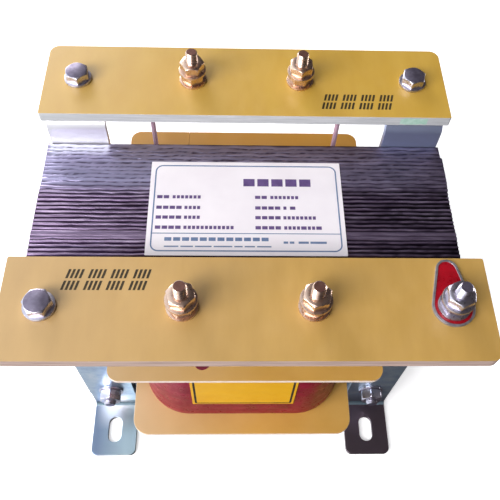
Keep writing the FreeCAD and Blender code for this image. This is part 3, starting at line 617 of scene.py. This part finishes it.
# Each row of points on a ridge: its share of the width, the groove's depth in front and behind
RIDGE_ROWS = (
    (0.0, 1.0, 0.15),
    (0.12, 0.5, 0.0),
    (0.26, 0.0, 0.0),
    (0.42, 0.05, 0.0),
    (0.57, 0.75, 0.15),
    (0.78, 1.0, 1.0),
)
# Patterns along the ridges: length in millimetres, step from ridge to ridge, place, middle value and swing
DASHES = (2.6, 2.3, 3.1, 0.5, 1.2)
EVENNESS = (9, 1.7, 6.2, 0.9, 0.25)
LONG_WAVE = (8, 0.8, 0.5, 0.0, 1.0)
SHORT_WAVE = (3.5, 5.1, 7.5, 0.0, 1.0)
WORN_SPOTS = (4, 3.3, 9.4, 0.0, 1.0)
# Waves with their size in millimetres in front and what is added behind
WAVES = ((LONG_WAVE, 0.3, 0.45), (SHORT_WAVE, 0.1, 0.25))
DASH_DEEPEST, PATTERN_LEAN, FULL_FROM = 0.85, 1.3, 0.5
BROKEN, BROKEN_LESS_RIGHT = 0.9, 0.45
WEAR, WEAR_RIGHT, WEAR_LESS_REAR, WEAR_LEAN = 0.3, 0.5, 0.6, 0.15
CORNER_CUT, SIDE_CUT = 0.12, 0.45
SHEET_STEP, SHEET_STEPS_RIGHT = 0.6 * MM, 1.6
SHORT_SHEETS, SHORT_STEP = 3, 0.9 * MM
# Strength of the painted shade in the grooves and worn dips.
GROOVE_SHADE, WORN_SHADE = 1.15, 1.3
# Share of the random ridge tint, and the painted shade toward the right.
TINT_SHARE, PAINTED_SHADE_RIGHT = 0.7, 0.5
# Painted sheen toward the rear, less at right.
REAR_SHEEN_TONE, REAR_SHEEN_RIGHT = 0.75, 0.5
# Painted reflection of the brackets near the rear edge, strongest at left.
FOOT_MIDDLE, BRACKET_REFLECTION_HALF, BRACKET_REFLECTION_DEPTH = 87.5 * MM, 15 * MM, 9 * MM
BRACKET_REFLECTION, BRACKET_REFLECTION_TONE, BRACKET_REFLECTION_RIGHT = 1.4, 0.75, 0.25


def rectangle_outline(left, right, bottom, top, counts, outward):
    """Points round a rectangle of the sheet, each with the direction that points out of the metal."""
    sides = (
        ((left, top), (right, top), (0, 1), counts[0]),
        ((right, top), (right, bottom), (1, 0), counts[1]),
        ((right, bottom), (left, bottom), (0, -1), counts[2]),
        ((left, bottom), (left, top), (-1, 0), counts[1]),
    )
    points = []
    for start, end, out, count in sides:
        for step in range(count):
            x, z = (a + (b - a) * step / count for a, b in zip(start, end))
            out_x, out_z = out if step else (1 if x == right else -1, 1 if z == top else -1)
            points.append((x, z, outward * out_x, outward * out_z))
    return points


def pattern(kind, run, ridge):
    """The value of a pattern at a place along a ridge."""
    length, step, place, middle, swing = kind
    return middle + swing * smooth_noise(run / length, ridge * step, place)


def edge_state(ridge, share, depth, rear, aside, run):
    """The groove's strength, the ridge's wear and its wave in millimetres at a point of the sheets' edges."""
    right = max(0.0, aside)
    broken = rear * (BROKEN - BROKEN_LESS_RIGHT * right)
    dashes = min(DASH_DEEPEST, pattern(DASHES, run, ridge))
    strength = clamped(pattern(EVENNESS, run, ridge) * (1 - broken) + dashes * broken, GROOVE_LEAST)
    if ridge == RIDGES - 1 and share > FULL_FROM:
        strength = 1.0
    wear = (WEAR + WEAR_RIGHT * right) * (1 - WEAR_LESS_REAR * rear)
    worn = wear * max(0.0, WEAR_LEAN * aside + pattern(WORN_SPOTS, run, ridge)) * (1 - depth)
    wave = sum(pattern(kind, run, ridge) * (front + behind * rear) for kind, front, behind in WAVES)
    return strength, worn, wave


def side_shift(out_x, out_z, cut, rear, from_rear):
    """How far a point of the core's outside moves along X, with small steps at both sides."""
    shift = -out_x * cut * (CORNER_CUT if out_z else SIDE_CUT)
    if out_x < 0:
        shift += SHEET_STEP * rear
    if out_x > 0:
        shift -= SHEET_STEP * (SHEET_STEPS_RIGHT - rear) + max(0, SHORT_SHEETS - from_rear) * SHORT_STEP
    return shift


def sheet_rows(bm, outline, lifts, tints, layers, outer):
    """Rings of points along the stack, six to a ridge, each point cut back into the metal."""
    pitch = (core_high.y - core_low.y) / RIDGES
    rows = []
    for ridge in range(RIDGES):
        middle = core_low.y + (ridge + 0.5) * pitch
        rear = clamped((middle - EVEN_FROM) / EVEN_BLEND + 0.5)
        banded = FLAT_BAND[0] < middle < FLAT_BAND[1]
        for share, front_depth, rear_depth in RIDGE_ROWS:
            depth = front_depth * (1 - rear) + rear_depth * rear
            first = ridge == 0 and share == RIDGE_ROWS[0][0]
            last = ridge == RIDGES - 1 and share == RIDGE_ROWS[-1][0]
            y = core_high.y if last else core_low.y + (ridge + share) * pitch
            row = []
            for x, z, out_x, out_z in outline:
                aside = x / core_high.x
                run = (x + z * PATTERN_LEAN) / MM
                strength, worn, wave = edge_state(ridge, share, depth, rear, aside, run)
                if banded:
                    strength, worn, wave = (FLAT_GROOVE if share < FLAT_TO else FLAT_END), 0.0, 0.0
                cut = GROOVE * (depth * strength * (1 - REAR_SHALLOW * rear) + worn)
                cut += lifts[ridge] * (not banded)
                shift = side_shift(out_x, out_z, cut, rear, RIDGES - 1 - ridge) if outer else -out_x * cut
                wobble = 0.0 if first or last else clamped(wave * MM, core_low.y - y, core_high.y - y)
                vertex = bm.verts.new((x + shift, y + wobble, z - out_z * cut))
                # Painted reflection of the brackets near the rear edge.
                bracket_reflection = max(0.0, 1 - (core_high.y - y) / BRACKET_REFLECTION_DEPTH)
                bracket_reflection *= abs(abs(x) - FOOT_MIDDLE) < BRACKET_REFLECTION_HALF
                # Painted sheen toward the rear, less at right.
                pale = rear * min(1.0, REAR_SHEEN_TONE - REAR_SHEEN_RIGHT * aside)
                # Painted shade in the grooves and worn dips.
                vertex[layers[0]] = min(1.0, GROOVE_SHADE * depth * strength + WORN_SHADE * worn)
                # A random tint for each ridge, and painted shade toward the right.
                vertex[layers[1]] = min(1.0, tints[ridge] * TINT_SHARE + PAINTED_SHADE_RIGHT * max(0.0, aside))
                vertex[layers[2]] = pale + BRACKET_REFLECTION * bracket_reflection * (BRACKET_REFLECTION_TONE - BRACKET_REFLECTION_RIGHT * aside)
                row.append(vertex)
            rows.append(row)
    skin(bm, rows)
    return rows


def core_piece():
    """The core as one mesh: its ridged outside, its windows and the faces of its outer sheets."""
    bm = bmesh.new()
    # Vertex numbers: painted shade in the grooves; tint with painted shade toward the right; painted sheen
    # and painted bracket reflection toward the rear.
    layers = [bm.verts.layers.float.new(name) for name in ("groove", "tint", "rear")]
    lifts = [random.uniform(0.0, LIFT) for _ in range(RIDGES)]
    tints = [random.random() for _ in range(RIDGES)]
    bottom, top = core_low.z, core_high.z
    outside = rectangle_outline(core_low.x, core_high.x, bottom, top, OUTER_STEPS, 1)
    rings = [sheet_rows(bm, outside, lifts, tints, layers, True)]
    for left, right in WINDOWS:
        opening = rectangle_outline(left, right, bottom + LIMB / 2, top - LIMB / 2, WINDOW_STEPS, -1)
        rings.append(sheet_rows(bm, opening, lifts, tints, layers, False))
    for end in (0, -1):
        edges = []
        for rows in rings:
            rim = rows[end]
            edges += [bm.edges.get((rim[index], rim[(index + 1) % len(rim)])) for index in range(len(rim))]
        filled = bmesh.ops.triangle_fill(bm, use_beauty=True, use_dissolve=False, edges=edges)
        for item in filled["geom"]:
            if isinstance(item, bmesh.types.BMFace):
                item.material_index = 1
    add_piece("core_sheets", bm, [core_edges, core_face], CORE_NODES, ROUNDED_CREASE)


core_piece()


# Bobbin, coil and their labels

EDGE_EASE, THIN_EASE, RING_SET_EASE = 0.35, 0.08, 0.15
SLIT_PLACE, SLIT_REACH, SLIT_SHARE = -33.4 * MM, 0.7 * MM, 0.25


def narrowed(vertex):
    """Draws the sides of the flange's slit together."""
    off = vertex.co.x - SLIT_PLACE
    if abs(off) < SLIT_REACH:
        vertex.co.x = SLIT_PLACE + off * SLIT_SHARE


def flange_part(centre, normal):
    """One for the flange's cut edge, nought for its faces and for the sides of its slit, which take the
    darker face finish as painted shade in the narrow slit.
    """
    return 0 if abs(centre.x - SLIT_PLACE) < SLIT_REACH else edge_or_face(centre, normal)


FLANGE = [flange_face, flange_edge]
eased("flange_bottom", "bobbin_flange_bottom", FLANGE, EDGE_EASE, edge_or_face)
eased("flange_top", "bobbin_flange_top", FLANGE, EDGE_EASE, flange_part, narrowed)
dress("bobbin_tube", flange_face)
dress("output_winding", copper)
dress("input_winding", copper)
dress("winding_barrier", fish_paper)

COIL_CORNER, COIL_INNER = 28.5 * MM, 4 * MM
STRAIGHT_STEPS, CORNER_PARTS, COIL_LEVELS = 26, 20, 66
DRAW, DRAW_REACH = 0.9 * MM, 5 * MM
LAP, LAP_WAVER, LAP_BLEND, LAP_STEP = 9.0 * MM, 1.2 * MM, 1.6 * MM, 0.25 * MM
# How pale the lap is painted, as a reflection of the flange.
LAP_SHEEN_TONE, LAP_RATE = 0.6, 40
RIPPLE, RIPPLE_WIDE, RIPPLE_TALL, RIPPLE_FADE = 0.2 * MM, 14 * MM, 9 * MM, 8 * MM
LABEL_ZONE, LABEL_NORMAL = 34 * MM, -0.9


def coil_outline(half_x, half_y):
    """Centres and directions round the coil's corners and the straight stretches between them."""
    outline = []
    corners = rounded_corners(half_x, half_y, COIL_CORNER, CORNER_PARTS)
    for turn, (centre_x, centre_y, ways) in enumerate(corners):
        outline += [(centre_x, centre_y, *way) for way in ways]
        reach = 2 * ((half_y if turn % 2 else half_x) - COIL_CORNER)
        out_x, out_y = ways[-1]
        for step in range(1, STRAIGHT_STEPS):
            share = reach * step / STRAIGHT_STEPS
            outline.append((centre_x - out_y * share, centre_y + out_x * share, out_x, out_y))
    return outline


def coil_point(centre_x, centre_y, out_x, out_y, z, from_bottom, from_end):
    """How far the wrap is sunk at a point of the coil, and how far the lap covers it."""
    lap_edge = LAP + LAP_WAVER * smooth_noise(centre_x * LAP_RATE, centre_y * LAP_RATE + out_x, out_y)
    over = clamped((lap_edge - from_bottom) / LAP_BLEND + 0.5)
    step = LAP_STEP * (1 - over)
    draw = DRAW * max(0.0, 1 - from_end / DRAW_REACH) ** 2
    if abs(centre_x) < LABEL_ZONE and out_y < LABEL_NORMAL and over < 1:
        return draw + step, over
    place = (centre_x / RIPPLE_WIDE, centre_y / RIPPLE_WIDE + out_x, z / RIPPLE_TALL)
    ripple = RIPPLE * (1 - smooth_noise(*place)) * min(1.0, from_end / RIPPLE_FADE)
    return draw + ripple + step, over


def wrap_piece():
    """The coil's outer wrap: a rounded block with drawn in ends, soft ripples and a lap below."""
    low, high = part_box("coil_wrap")
    outline = coil_outline((high.x - low.x) / 2, (high.y - low.y) / 2)
    bm = bmesh.new()
    lap_sheen_layer = bm.verts.layers.float.new("lap")
    rings = []
    for level in range(COIL_LEVELS + 1):
        z = low.z + (high.z - low.z) * level / COIL_LEVELS
        up, down = z - low.z, high.z - z
        ring = []
        for centre_x, centre_y, out_x, out_y in outline:
            sunk, over = coil_point(centre_x, centre_y, out_x, out_y, z, up, min(up, down))
            radius = COIL_CORNER - sunk
            spot = bm.verts.new((centre_x + out_x * radius, centre_y + out_y * radius, z))
            # Painted reflection of the flange on the lap.
            spot[lap_sheen_layer] = over * LAP_SHEEN_TONE
            ring.append(spot)
        rings.append(ring)
    inside = COIL_CORNER - COIL_INNER
    for z in (high.z, low.z):
        rings.append([bm.verts.new((cx + ox * inside, cy + oy * inside, z)) for cx, cy, ox, oy in outline])
    rings.append(rings[0])
    skin(bm, rings)
    add_piece("coil_tape", bm, [red_wrap], ["coil_wrap"], ROUNDED_CREASE)


wrap_piece()
eased("coil_sticker", "coil_label", [sticker_yellow], THIN_EASE)
eased("plate_label", "rating_label", [label_paper], THIN_EASE)


# Feet and boards

SIDES = ("front_left", "front_right", "rear_left", "rear_right")
# Each foot takes its own copy of the zinc: painted light on the left ones, painted shade on the right ones.
for side, zinc in zip(SIDES, (zinc_lit_left, zinc_shaded_right, zinc_top_lit, zinc_top_shaded)):
    eased(f"foot_{side}", f"bracket_{side}", [zinc, zinc_fold_shade], EDGE_EASE, fold_or_flat)
for side, face, edge in (("front", front_face, front_edge), ("rear", rear_face, board_edge)):
    eased(f"board_{side}", f"terminal_board_{side}", [face, edge], EDGE_EASE, edge_or_face)


# Print: thin raised shapes

PRINT_THICK, PRINT_PARTS = 0.04 * MM, 8


def bar(bm, x, y, width, height, material=0, slant=0.0):
    """A thin bar of print centred on a spot, its far end moved aside by a slant."""
    rings = []
    for level in (0.0, PRINT_THICK):
        ring = []
        for side, end in ((-1, -1), (1, -1), (1, 1), (-1, 1)):
            spot = (x + (side * width + end * slant) / 2, y + end * height / 2, level)
            ring.append(bm.verts.new(spot))
        rings.append(ring)
    closed(bm, rings, material, material)


def frame_line(bm, width, height, corner, line, material=0):
    """A rounded rectangle drawn as a line."""
    loops = []
    for inset, lift in ((0.0, 0.0), (0.0, PRINT_THICK), (line, PRINT_THICK), (line, 0.0)):
        radius = corner - inset
        loop = []
        for centre_x, centre_y, ways in rounded_corners(width / 2, height / 2, corner, PRINT_PARTS):
            for out_x, out_y in ways:
                loop.append(bm.verts.new((centre_x + radius * out_x, centre_y + radius * out_y, lift)))
        loops.append(loop)
    loops.append(loops[0])
    skin(bm, loops, material)


def laid(name, bm, place, inks):
    """Moves print from the origin to its place and makes a piece of it."""
    bmesh.ops.transform(bm, matrix=place, verts=bm.verts[:])
    add_piece(name, bm, inks)


LABEL_MARGIN, LABEL_CORNER, LABEL_LINE = 2.2 * MM, 4 * MM, 0.7 * MM
RULE_DOWN, RULE_MARGIN, RULE_THICK = 15.6 * MM, 2.5 * MM, 0.45 * MM
WIDE, NARROW = 2.7, 1.5
TEXT_LEFT, TEXT_RIGHT, TEXT_GAP, TEXT_TALL = -45, 4.4, 0.6, 1.9
PURPLE, BLUE = 0, 1
# Single rows: left end and middle from the label's centre, widths, gap and height in millimetres, finish;
# a negative width is an empty stretch
SINGLE_ROWS = (
    (-1.5, 15, [5.8] * 5, 1.4, 4.6, PURPLE),
    (-40, -18.9, [3.4] * 12, 0.9, 2.0, BLUE),
    (-40, -23.0, [7, 6, 8, 9, 4, 5, 7], 1.0, 0.7, BLUE),
    (18, -20.6, [2.2, 2.2, -0.5, 5, 8], 0.8, 1.2, BLUE),
)


def words(wide, gap, narrow):
    """Widths of a few wide marks, a gap and some narrow marks."""
    return [WIDE] * wide + [-gap] + [NARROW] * narrow


# Rows in two columns: their middle, and the widths at left and at right
TEXT_ROWS = (
    (5.9, words(2, 0.6, 7), words(2, 0.6, 7)),
    (-0.5, words(4, 0.2, 4), words(4, 0.4, 1) + [-0.6, WIDE]),
    (-6.3, words(4, 0.2, 4), words(4, 0.2, 8)),
    (-12.2, words(4, 0.2, 12), words(4, 0.4, 4) + [WIDE, NARROW, NARROW, WIDE]),
)


def label_print():
    """Plain fields and rules in the place of the label's words."""
    low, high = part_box("rating_label")
    wide, deep = (high - low).xy
    bm = bmesh.new()
    frame_line(bm, wide - 2 * LABEL_MARGIN, deep - 2 * LABEL_MARGIN, LABEL_CORNER, LABEL_LINE, BLUE)
    bar(bm, 0, -RULE_DOWN, wide - 2 * RULE_MARGIN, RULE_THICK, BLUE)
    rows = list(SINGLE_ROWS)
    for y, left, right in TEXT_ROWS:
        rows.append((TEXT_LEFT, y, left, TEXT_GAP, TEXT_TALL, PURPLE))
        rows.append((TEXT_RIGHT, y, right, TEXT_GAP, TEXT_TALL, PURPLE))
    for x, y, widths, gap, tall, ink in rows:
        for width in widths:
            if width > 0:
                bar(bm, (x + width / 2) * MM, y * MM, width * MM, tall * MM, ink)
            x += abs(width) + gap
    place = Matrix.Translation(((low.x + high.x) / 2, (low.y + high.y) / 2, high.z))
    laid("plate_print", bm, place, [ink_purple, ink_blue])


STICKER_INSET, STICKER_LINE, STICKER_CORNER = 1.4 * MM, 1.2 * MM, 2 * MM


def sticker_border():
    """A plain dark line round the coil's blank label."""
    low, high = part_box("coil_label")
    middle = (low + high) / 2
    bm = bmesh.new()
    wide, tall = high.x - low.x - 2 * STICKER_INSET, high.z - low.z - 2 * STICKER_INSET
    frame_line(bm, wide, tall, STICKER_CORNER, STICKER_LINE)
    place = Matrix.Translation((middle.x, low.y, middle.z)) @ Matrix.Rotation(math.radians(90), 4, "X")
    laid("sticker_border", bm, place, [ink_black])


MARK_FIELDS, MARK_STROKES = 4, 4
MARK_TALL, MARK_STEP, MARK_STROKE, MARK_SLANT = 10.0 * MM, 9.6 * MM, 1.1 * MM, 2.6 * MM
STROKE_STEP, HALF_SHARE, HALF_OFF = 1.9 * MM, 0.44, 0.28
FRONT_MARKS, REAR_MARKS = (-61 * MM, -52.2 * MM), (57.5 * MM, 51.2 * MM)


def board_marks(name, board, x0, y0):
    """Plain stencilled fields on a board, each of slanting strokes in two halves."""
    bm = bmesh.new()
    tall, slant = HALF_SHARE * MARK_TALL, HALF_SHARE * MARK_SLANT
    for field in range(MARK_FIELDS):
        for stroke in range(MARK_STROKES):
            x = (field - (MARK_FIELDS - 1) / 2) * MARK_STEP + (stroke - (MARK_STROKES - 1) / 2) * STROKE_STEP
            for off in (-HALF_OFF, HALF_OFF):
                bar(bm, x + off * MARK_SLANT, off * MARK_TALL, MARK_STROKE, tall, slant=slant)
    place = Matrix.Translation((x0, y0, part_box(board)[1].z))
    laid(name, bm, place, [ink_brown])


RUB_FROM, RUB_LONG, RUB_STEPS = 79 * MM, 14 * MM, 16
RUB_MARGIN, RUB_ROUGH, RUB_THICK = 0.85 * MM, 0.5 * MM, 0.03 * MM
RUB_RATE, RUB_PLACE = 0.7, (2.2, 4.4)


def edge_patch():
    """A faint green rub on the front edge of the rear board, near its right end."""
    low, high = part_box("terminal_board_rear")
    bm = bmesh.new()
    rings = []
    for step in range(RUB_STEPS + 1):
        x = RUB_FROM + RUB_LONG * step / RUB_STEPS
        rough = RUB_ROUGH * smooth_noise(step * RUB_RATE, *RUB_PLACE)
        bottom, top = low.z + RUB_MARGIN + rough, high.z - RUB_MARGIN - rough
        front, back = low.y - RUB_THICK, low.y + RUB_THICK
        spots = ((front, bottom), (front, top), (back, top), (back, bottom))
        rings.append([bm.verts.new((x, y, z)) for y, z in spots])
    closed(bm, rings)
    add_piece("edge_rub", bm, [patch_green])


label_print()
sticker_border()
board_marks("marks_front", "terminal_board_front", *FRONT_MARKS)
board_marks("marks_rear", "terminal_board_rear", *REAR_MARKS)
edge_patch()


# Terminals and fasteners

M6, M6_PITCH, M6_TIP = 6 * MM, 1.0 * MM, 0.6 * MM
M8, M8_PITCH, M8_TIP, M8_THREAD = 8 * MM, 1.25 * MM, 1.0 * MM, 26 * MM
BRASS_HOLE, STEEL_HOLE, CORE_HOLE = 3.1 * MM, 3.2 * MM, 4.2 * MM
BOARD_HEAD, CORE_HEAD = 4.5 * MM, 5.3 * MM
STUD_NECK, STUD_FLATS, STUD_TURN, STUD_HEAD_DROP = 2.7 * MM, 10 * MM, 10, 2.2 * MM
TAG_RIM_DEPTH = 0.1 * MM
NUT_TURN, FIRST_TURN = 37, 11
BRASS, STEEL = (brass, "terminal_brass"), (zinc_steel, "bolt_steel")


def turn_of(index):
    """A rotation for a nut, its own for each."""
    return (index * NUT_TURN + FIRST_TURN) % 60


def turned_place(box, along):
    """A point on a solid's axis, its first and last level along it and its least width across."""
    low, high = box
    x = (low.x + high.x) / 2
    if along is UP:
        return Vector((x, (low.y + high.y) / 2, 0)), low.z, high.z, min(high.x - low.x, high.y - low.y)
    return Vector((x, 0, (low.z + high.z) / 2)), -high.y, -low.y, min(high.x - low.x, high.z - low.z)


def add_nuts(name, node, along, bore, first_turn, finish, slot):
    """All the nuts of a node, each with a rotation of its own."""
    bm = bmesh.new()
    for index, box in enumerate(solids_of(node)):
        spot, start, end, flats = turned_place(box, along)
        hexagon_piece(bm, spot, along, turn_of(index + first_turn), flats, start, end, bore)
    add_piece(name, bm, [finish], [node])


def add_washers(name, node, along, bore, finish, slot):
    """All the washers of a node."""
    bm = bmesh.new()
    for box in solids_of(node):
        spot, start, end, _ = turned_place(box, along)
        washer(bm, spot, along, (box[1].x - box[0].x) / 2, bore, start, end)
    add_piece(name, bm, [finish], [node])


def terminal_pieces():
    """Brass studs with their heads under the boards, and their nuts and washers."""
    bm = bmesh.new()
    for box in solids_of("terminal_studs"):
        spot, bottom, tip, _ = turned_place(box, UP)
        board_low, board_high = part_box("terminal_board_front" if spot.y < 0 else "terminal_board_rear")
        threaded(bm, spot, UP, M6, M6_PITCH, board_high.z, tip, M6_TIP, cap=1)
        plain_shank(bm, spot, UP, STUD_NECK, board_low.z, board_high.z)
        hexagon_piece(bm, spot, UP, STUD_TURN, STUD_FLATS, bottom, board_low.z - STUD_HEAD_DROP)
    add_piece("brass_studs", bm, [brass, shaded_brass_end], ["terminal_studs"])
    add_nuts("brass_nuts", "terminal_nuts", UP, M6 / 2, 0, *BRASS)
    add_washers("brass_washers", "terminal_washers", UP, BRASS_HOLE, *BRASS)


def board_fasteners():
    """Three bolts that hold the boards on the ledges, with washers, nuts and spring washers."""
    bm = bmesh.new()
    for index, box in enumerate(solids_of("board_bolts")):
        spot, tip, top, flats = turned_place(box, UP)
        head = top - BOARD_HEAD
        hexagon_piece(bm, spot, UP, turn_of(index + 3), flats, head, top, chamfer_low=False, cap=1)
        threaded(bm, spot, UP, M6, M6_PITCH, tip, head, 0.0)
    add_piece("corner_bolts", bm, [zinc_steel, shaded_steel_end], ["board_bolts"])
    add_washers("corner_washers", "board_washers", UP, STEEL_HOLE, *STEEL)
    add_nuts("corner_nuts", "board_nuts", UP, M6 / 2, 0, *STEEL)
    eased("corner_spring_washers", "board_spring_washers", [zinc_steel], RING_SET_EASE)


def earth_fasteners():
    """Earth stud in the fourth corner, with its nuts, washers and enamelled tag."""
    bm = bmesh.new()
    for box in solids_of("earth_stud"):
        spot, bottom, tip, _ = turned_place(box, UP)
        threaded(bm, spot, UP, M6, M6_PITCH, bottom, tip, M6_TIP, cap=1)
    add_piece("earth_screw", bm, [zinc_steel, shaded_steel_end], ["earth_stud"])
    add_nuts("earth_hexagons", "earth_nuts", UP, M6 / 2, 1, *STEEL)
    add_washers("earth_rings", "earth_washers", UP, STEEL_HOLE, *STEEL)
    tag_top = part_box("earth_tag")[1].z

    def field(centre, normal):
        return int(normal.z > EDGE_NORMAL and centre.z < tag_top - TAG_RIM_DEPTH)

    eased("earth_drop", "earth_tag", [tag_rim, enamel], THIN_EASE, field)


def core_fasteners():
    """Bolts through the core, with nuts in front and washers at both ends."""
    bm = bmesh.new()
    for index, box in enumerate(solids_of("core_bolts")):
        spot, back, tip, flats = turned_place(box, FRONT)
        head = -back - CORE_HEAD
        hexagon_piece(bm, spot, -FRONT, turn_of(index), flats, head, -back, chamfer_low=False, cap=1)
        threaded(bm, spot, FRONT, M8, M8_PITCH, tip - M8_THREAD, tip, M8_TIP, cap=1)
        plain_shank(bm, spot, FRONT, M8 / 2, -head, tip - M8_THREAD)
    add_piece("through_bolts", bm, [zinc_steel, shaded_steel_end], ["core_bolts"])
    add_nuts("through_nuts", "core_nuts", FRONT, M8 / 2, 2, *STEEL)
    add_washers("through_washers", "core_washers", FRONT, CORE_HOLE, *STEEL)


terminal_pieces()
board_fasteners()
earth_fasteners()
core_fasteners()
for side in SIDES:
    dress(f"lug_{side}", tinned)
    dress(f"lead_{side}", sleeve)


# Floor, light and camera

FLOOR_LEVEL, FLOOR_REACH = -0.05 * MM, 6.0
WALL_SIDES, WALL_RADIUS, WALL_HEIGHT = 64, 5.9, 7.0
WHITE = (1, 1, 1, 1)
PAPER = ((0.86, 0.86, 0.87, 1), (0.9, 0.9, 0.9, 1))


def add_stage(name, bm, roughness, size, glow):
    """A pale sheet that glows a little, seen by the camera and in no reflection."""
    mesh = bpy.data.meshes.new(name)
    bm.to_mesh(mesh)
    bm.free()
    finish = varied(f"{name}_paper", *PAPER, roughness, size=size)
    finish.set("Emission Color", WHITE)
    finish.set("Emission Strength", glow)
    mesh.materials.append(finish.material)
    sheet = put(name, mesh)
    sheet.visible_glossy = False
    sheet.visible_diffuse = False
    return sheet


def add_floor():
    """A pale floor just under the feet."""
    bm = bmesh.new()
    corners = ((-1, -1), (1, -1), (1, 1), (-1, 1))
    bm.faces.new([bm.verts.new((x * FLOOR_REACH, y * FLOOR_REACH, FLOOR_LEVEL)) for x, y in corners])
    add_stage("floor", bm, roughness=0.8, size=300.0, glow=0.5)


def add_backdrop():
    """A pale wall far round the part."""
    bm = bmesh.new()
    rings = []
    for level in (FLOOR_LEVEL, WALL_HEIGHT):
        angles = [2 * math.pi * side / WALL_SIDES for side in range(WALL_SIDES)]
        spots = [(WALL_RADIUS * math.cos(angle), WALL_RADIUS * math.sin(angle), level) for angle in angles]
        rings.append([bm.verts.new(spot) for spot in spots])
    skin(bm, rings)
    wall = add_stage("backdrop", bm, roughness=0.9, size=900.0, glow=0.9)
    wall.visible_shadow = False


AIM = Vector((0, 0, 0.15))
# Name, place, width and height, power and colour
LIGHTS = (
    ("key", (-1.0, -0.65, 0.75), (0.7, 0.7), 15, (1.0, 0.98, 0.95)),
    ("fill", (-0.55, -0.8, 1.15), (0.5, 0.5), 8, (1.0, 0.97, 0.98)),
    ("rear", (-0.5, 0.95, 0.5), (0.5, 0.5), 7, (1.0, 0.97, 0.96)),
    ("side", (1.25, 0.45, 0.08), (0.9, 0.16), 7, (1.0, 0.98, 0.96)),
)


def add_light(name, place, size, power, colour):
    """A rectangular soft light that points at the middle of the part."""
    data = bpy.data.lights.new(name, "AREA")
    data.shape = "RECTANGLE"
    data.size, data.size_y = size
    data.energy = power
    data.color = colour
    light = put(name, data)
    light.location = place
    light.rotation_euler = (AIM - Vector(place)).to_track_quat("-Z", "Y").to_euler()


# By the direction's X: bright and bluish at the left, dim and pinkish at the right
WORLD_BAND = {"From_Min": -0.46, "From_Max": 0.08, "To_Min": 1.35, "To_Max": 0.06}
WORLD_TONES = ((0.0, (1.0, 0.84, 0.86, 1)), (1.0, (0.88, 0.95, 1.0, 1)))


def add_world():
    """Soft surroundings whose tint follows their brightness."""
    world = bpy.data.worlds.new("studio")
    bpy.context.scene.world = world
    back = Shading(world, "Background", "Generated")
    across = back.node("ShaderNodeSeparateXYZ", "X", Vector=back.place)
    band = back.node("ShaderNodeMapRange", "Result", Value=across, **WORLD_BAND)
    band.node.interpolation_type = "SMOOTHSTEP"
    back.set("Strength", band)
    back.set("Color", back.ramp(band, *WORLD_TONES))


CAMERA_PLACE = Vector((-7.054, -181.263, 464.137)) * MM
CAMERA_TURNS = ((-3.7806, "Z"), (90 - 59.087, "X"), (3.5668, "Z"))
SENSOR = 36.0
# In pixels of the photograph
PHOTO_WIDTH, FOCAL_LENGTH, OFF_CENTRE = 500, 653.229, (4.338, -12.763)


def add_camera():
    """The photograph's camera, turned from looking straight down."""
    data = bpy.data.cameras.new("camera")
    data.sensor_width = SENSOR
    data.lens = FOCAL_LENGTH / PHOTO_WIDTH * SENSOR
    data.shift_x = -OFF_CENTRE[0] / PHOTO_WIDTH
    data.shift_y = OFF_CENTRE[1] / PHOTO_WIDTH
    camera = put("camera", data)
    pose = Matrix.Translation(CAMERA_PLACE)
    for degrees, axis in CAMERA_TURNS:
        pose @= Matrix.Rotation(math.radians(degrees), 4, axis)
    camera.matrix_world = pose
    bpy.context.scene.camera = camera


add_floor()
add_backdrop()
add_world()
for light in LIGHTS:
    add_light(*light)
add_camera()
bpy.context.scene.view_settings.view_transform = "Standard"
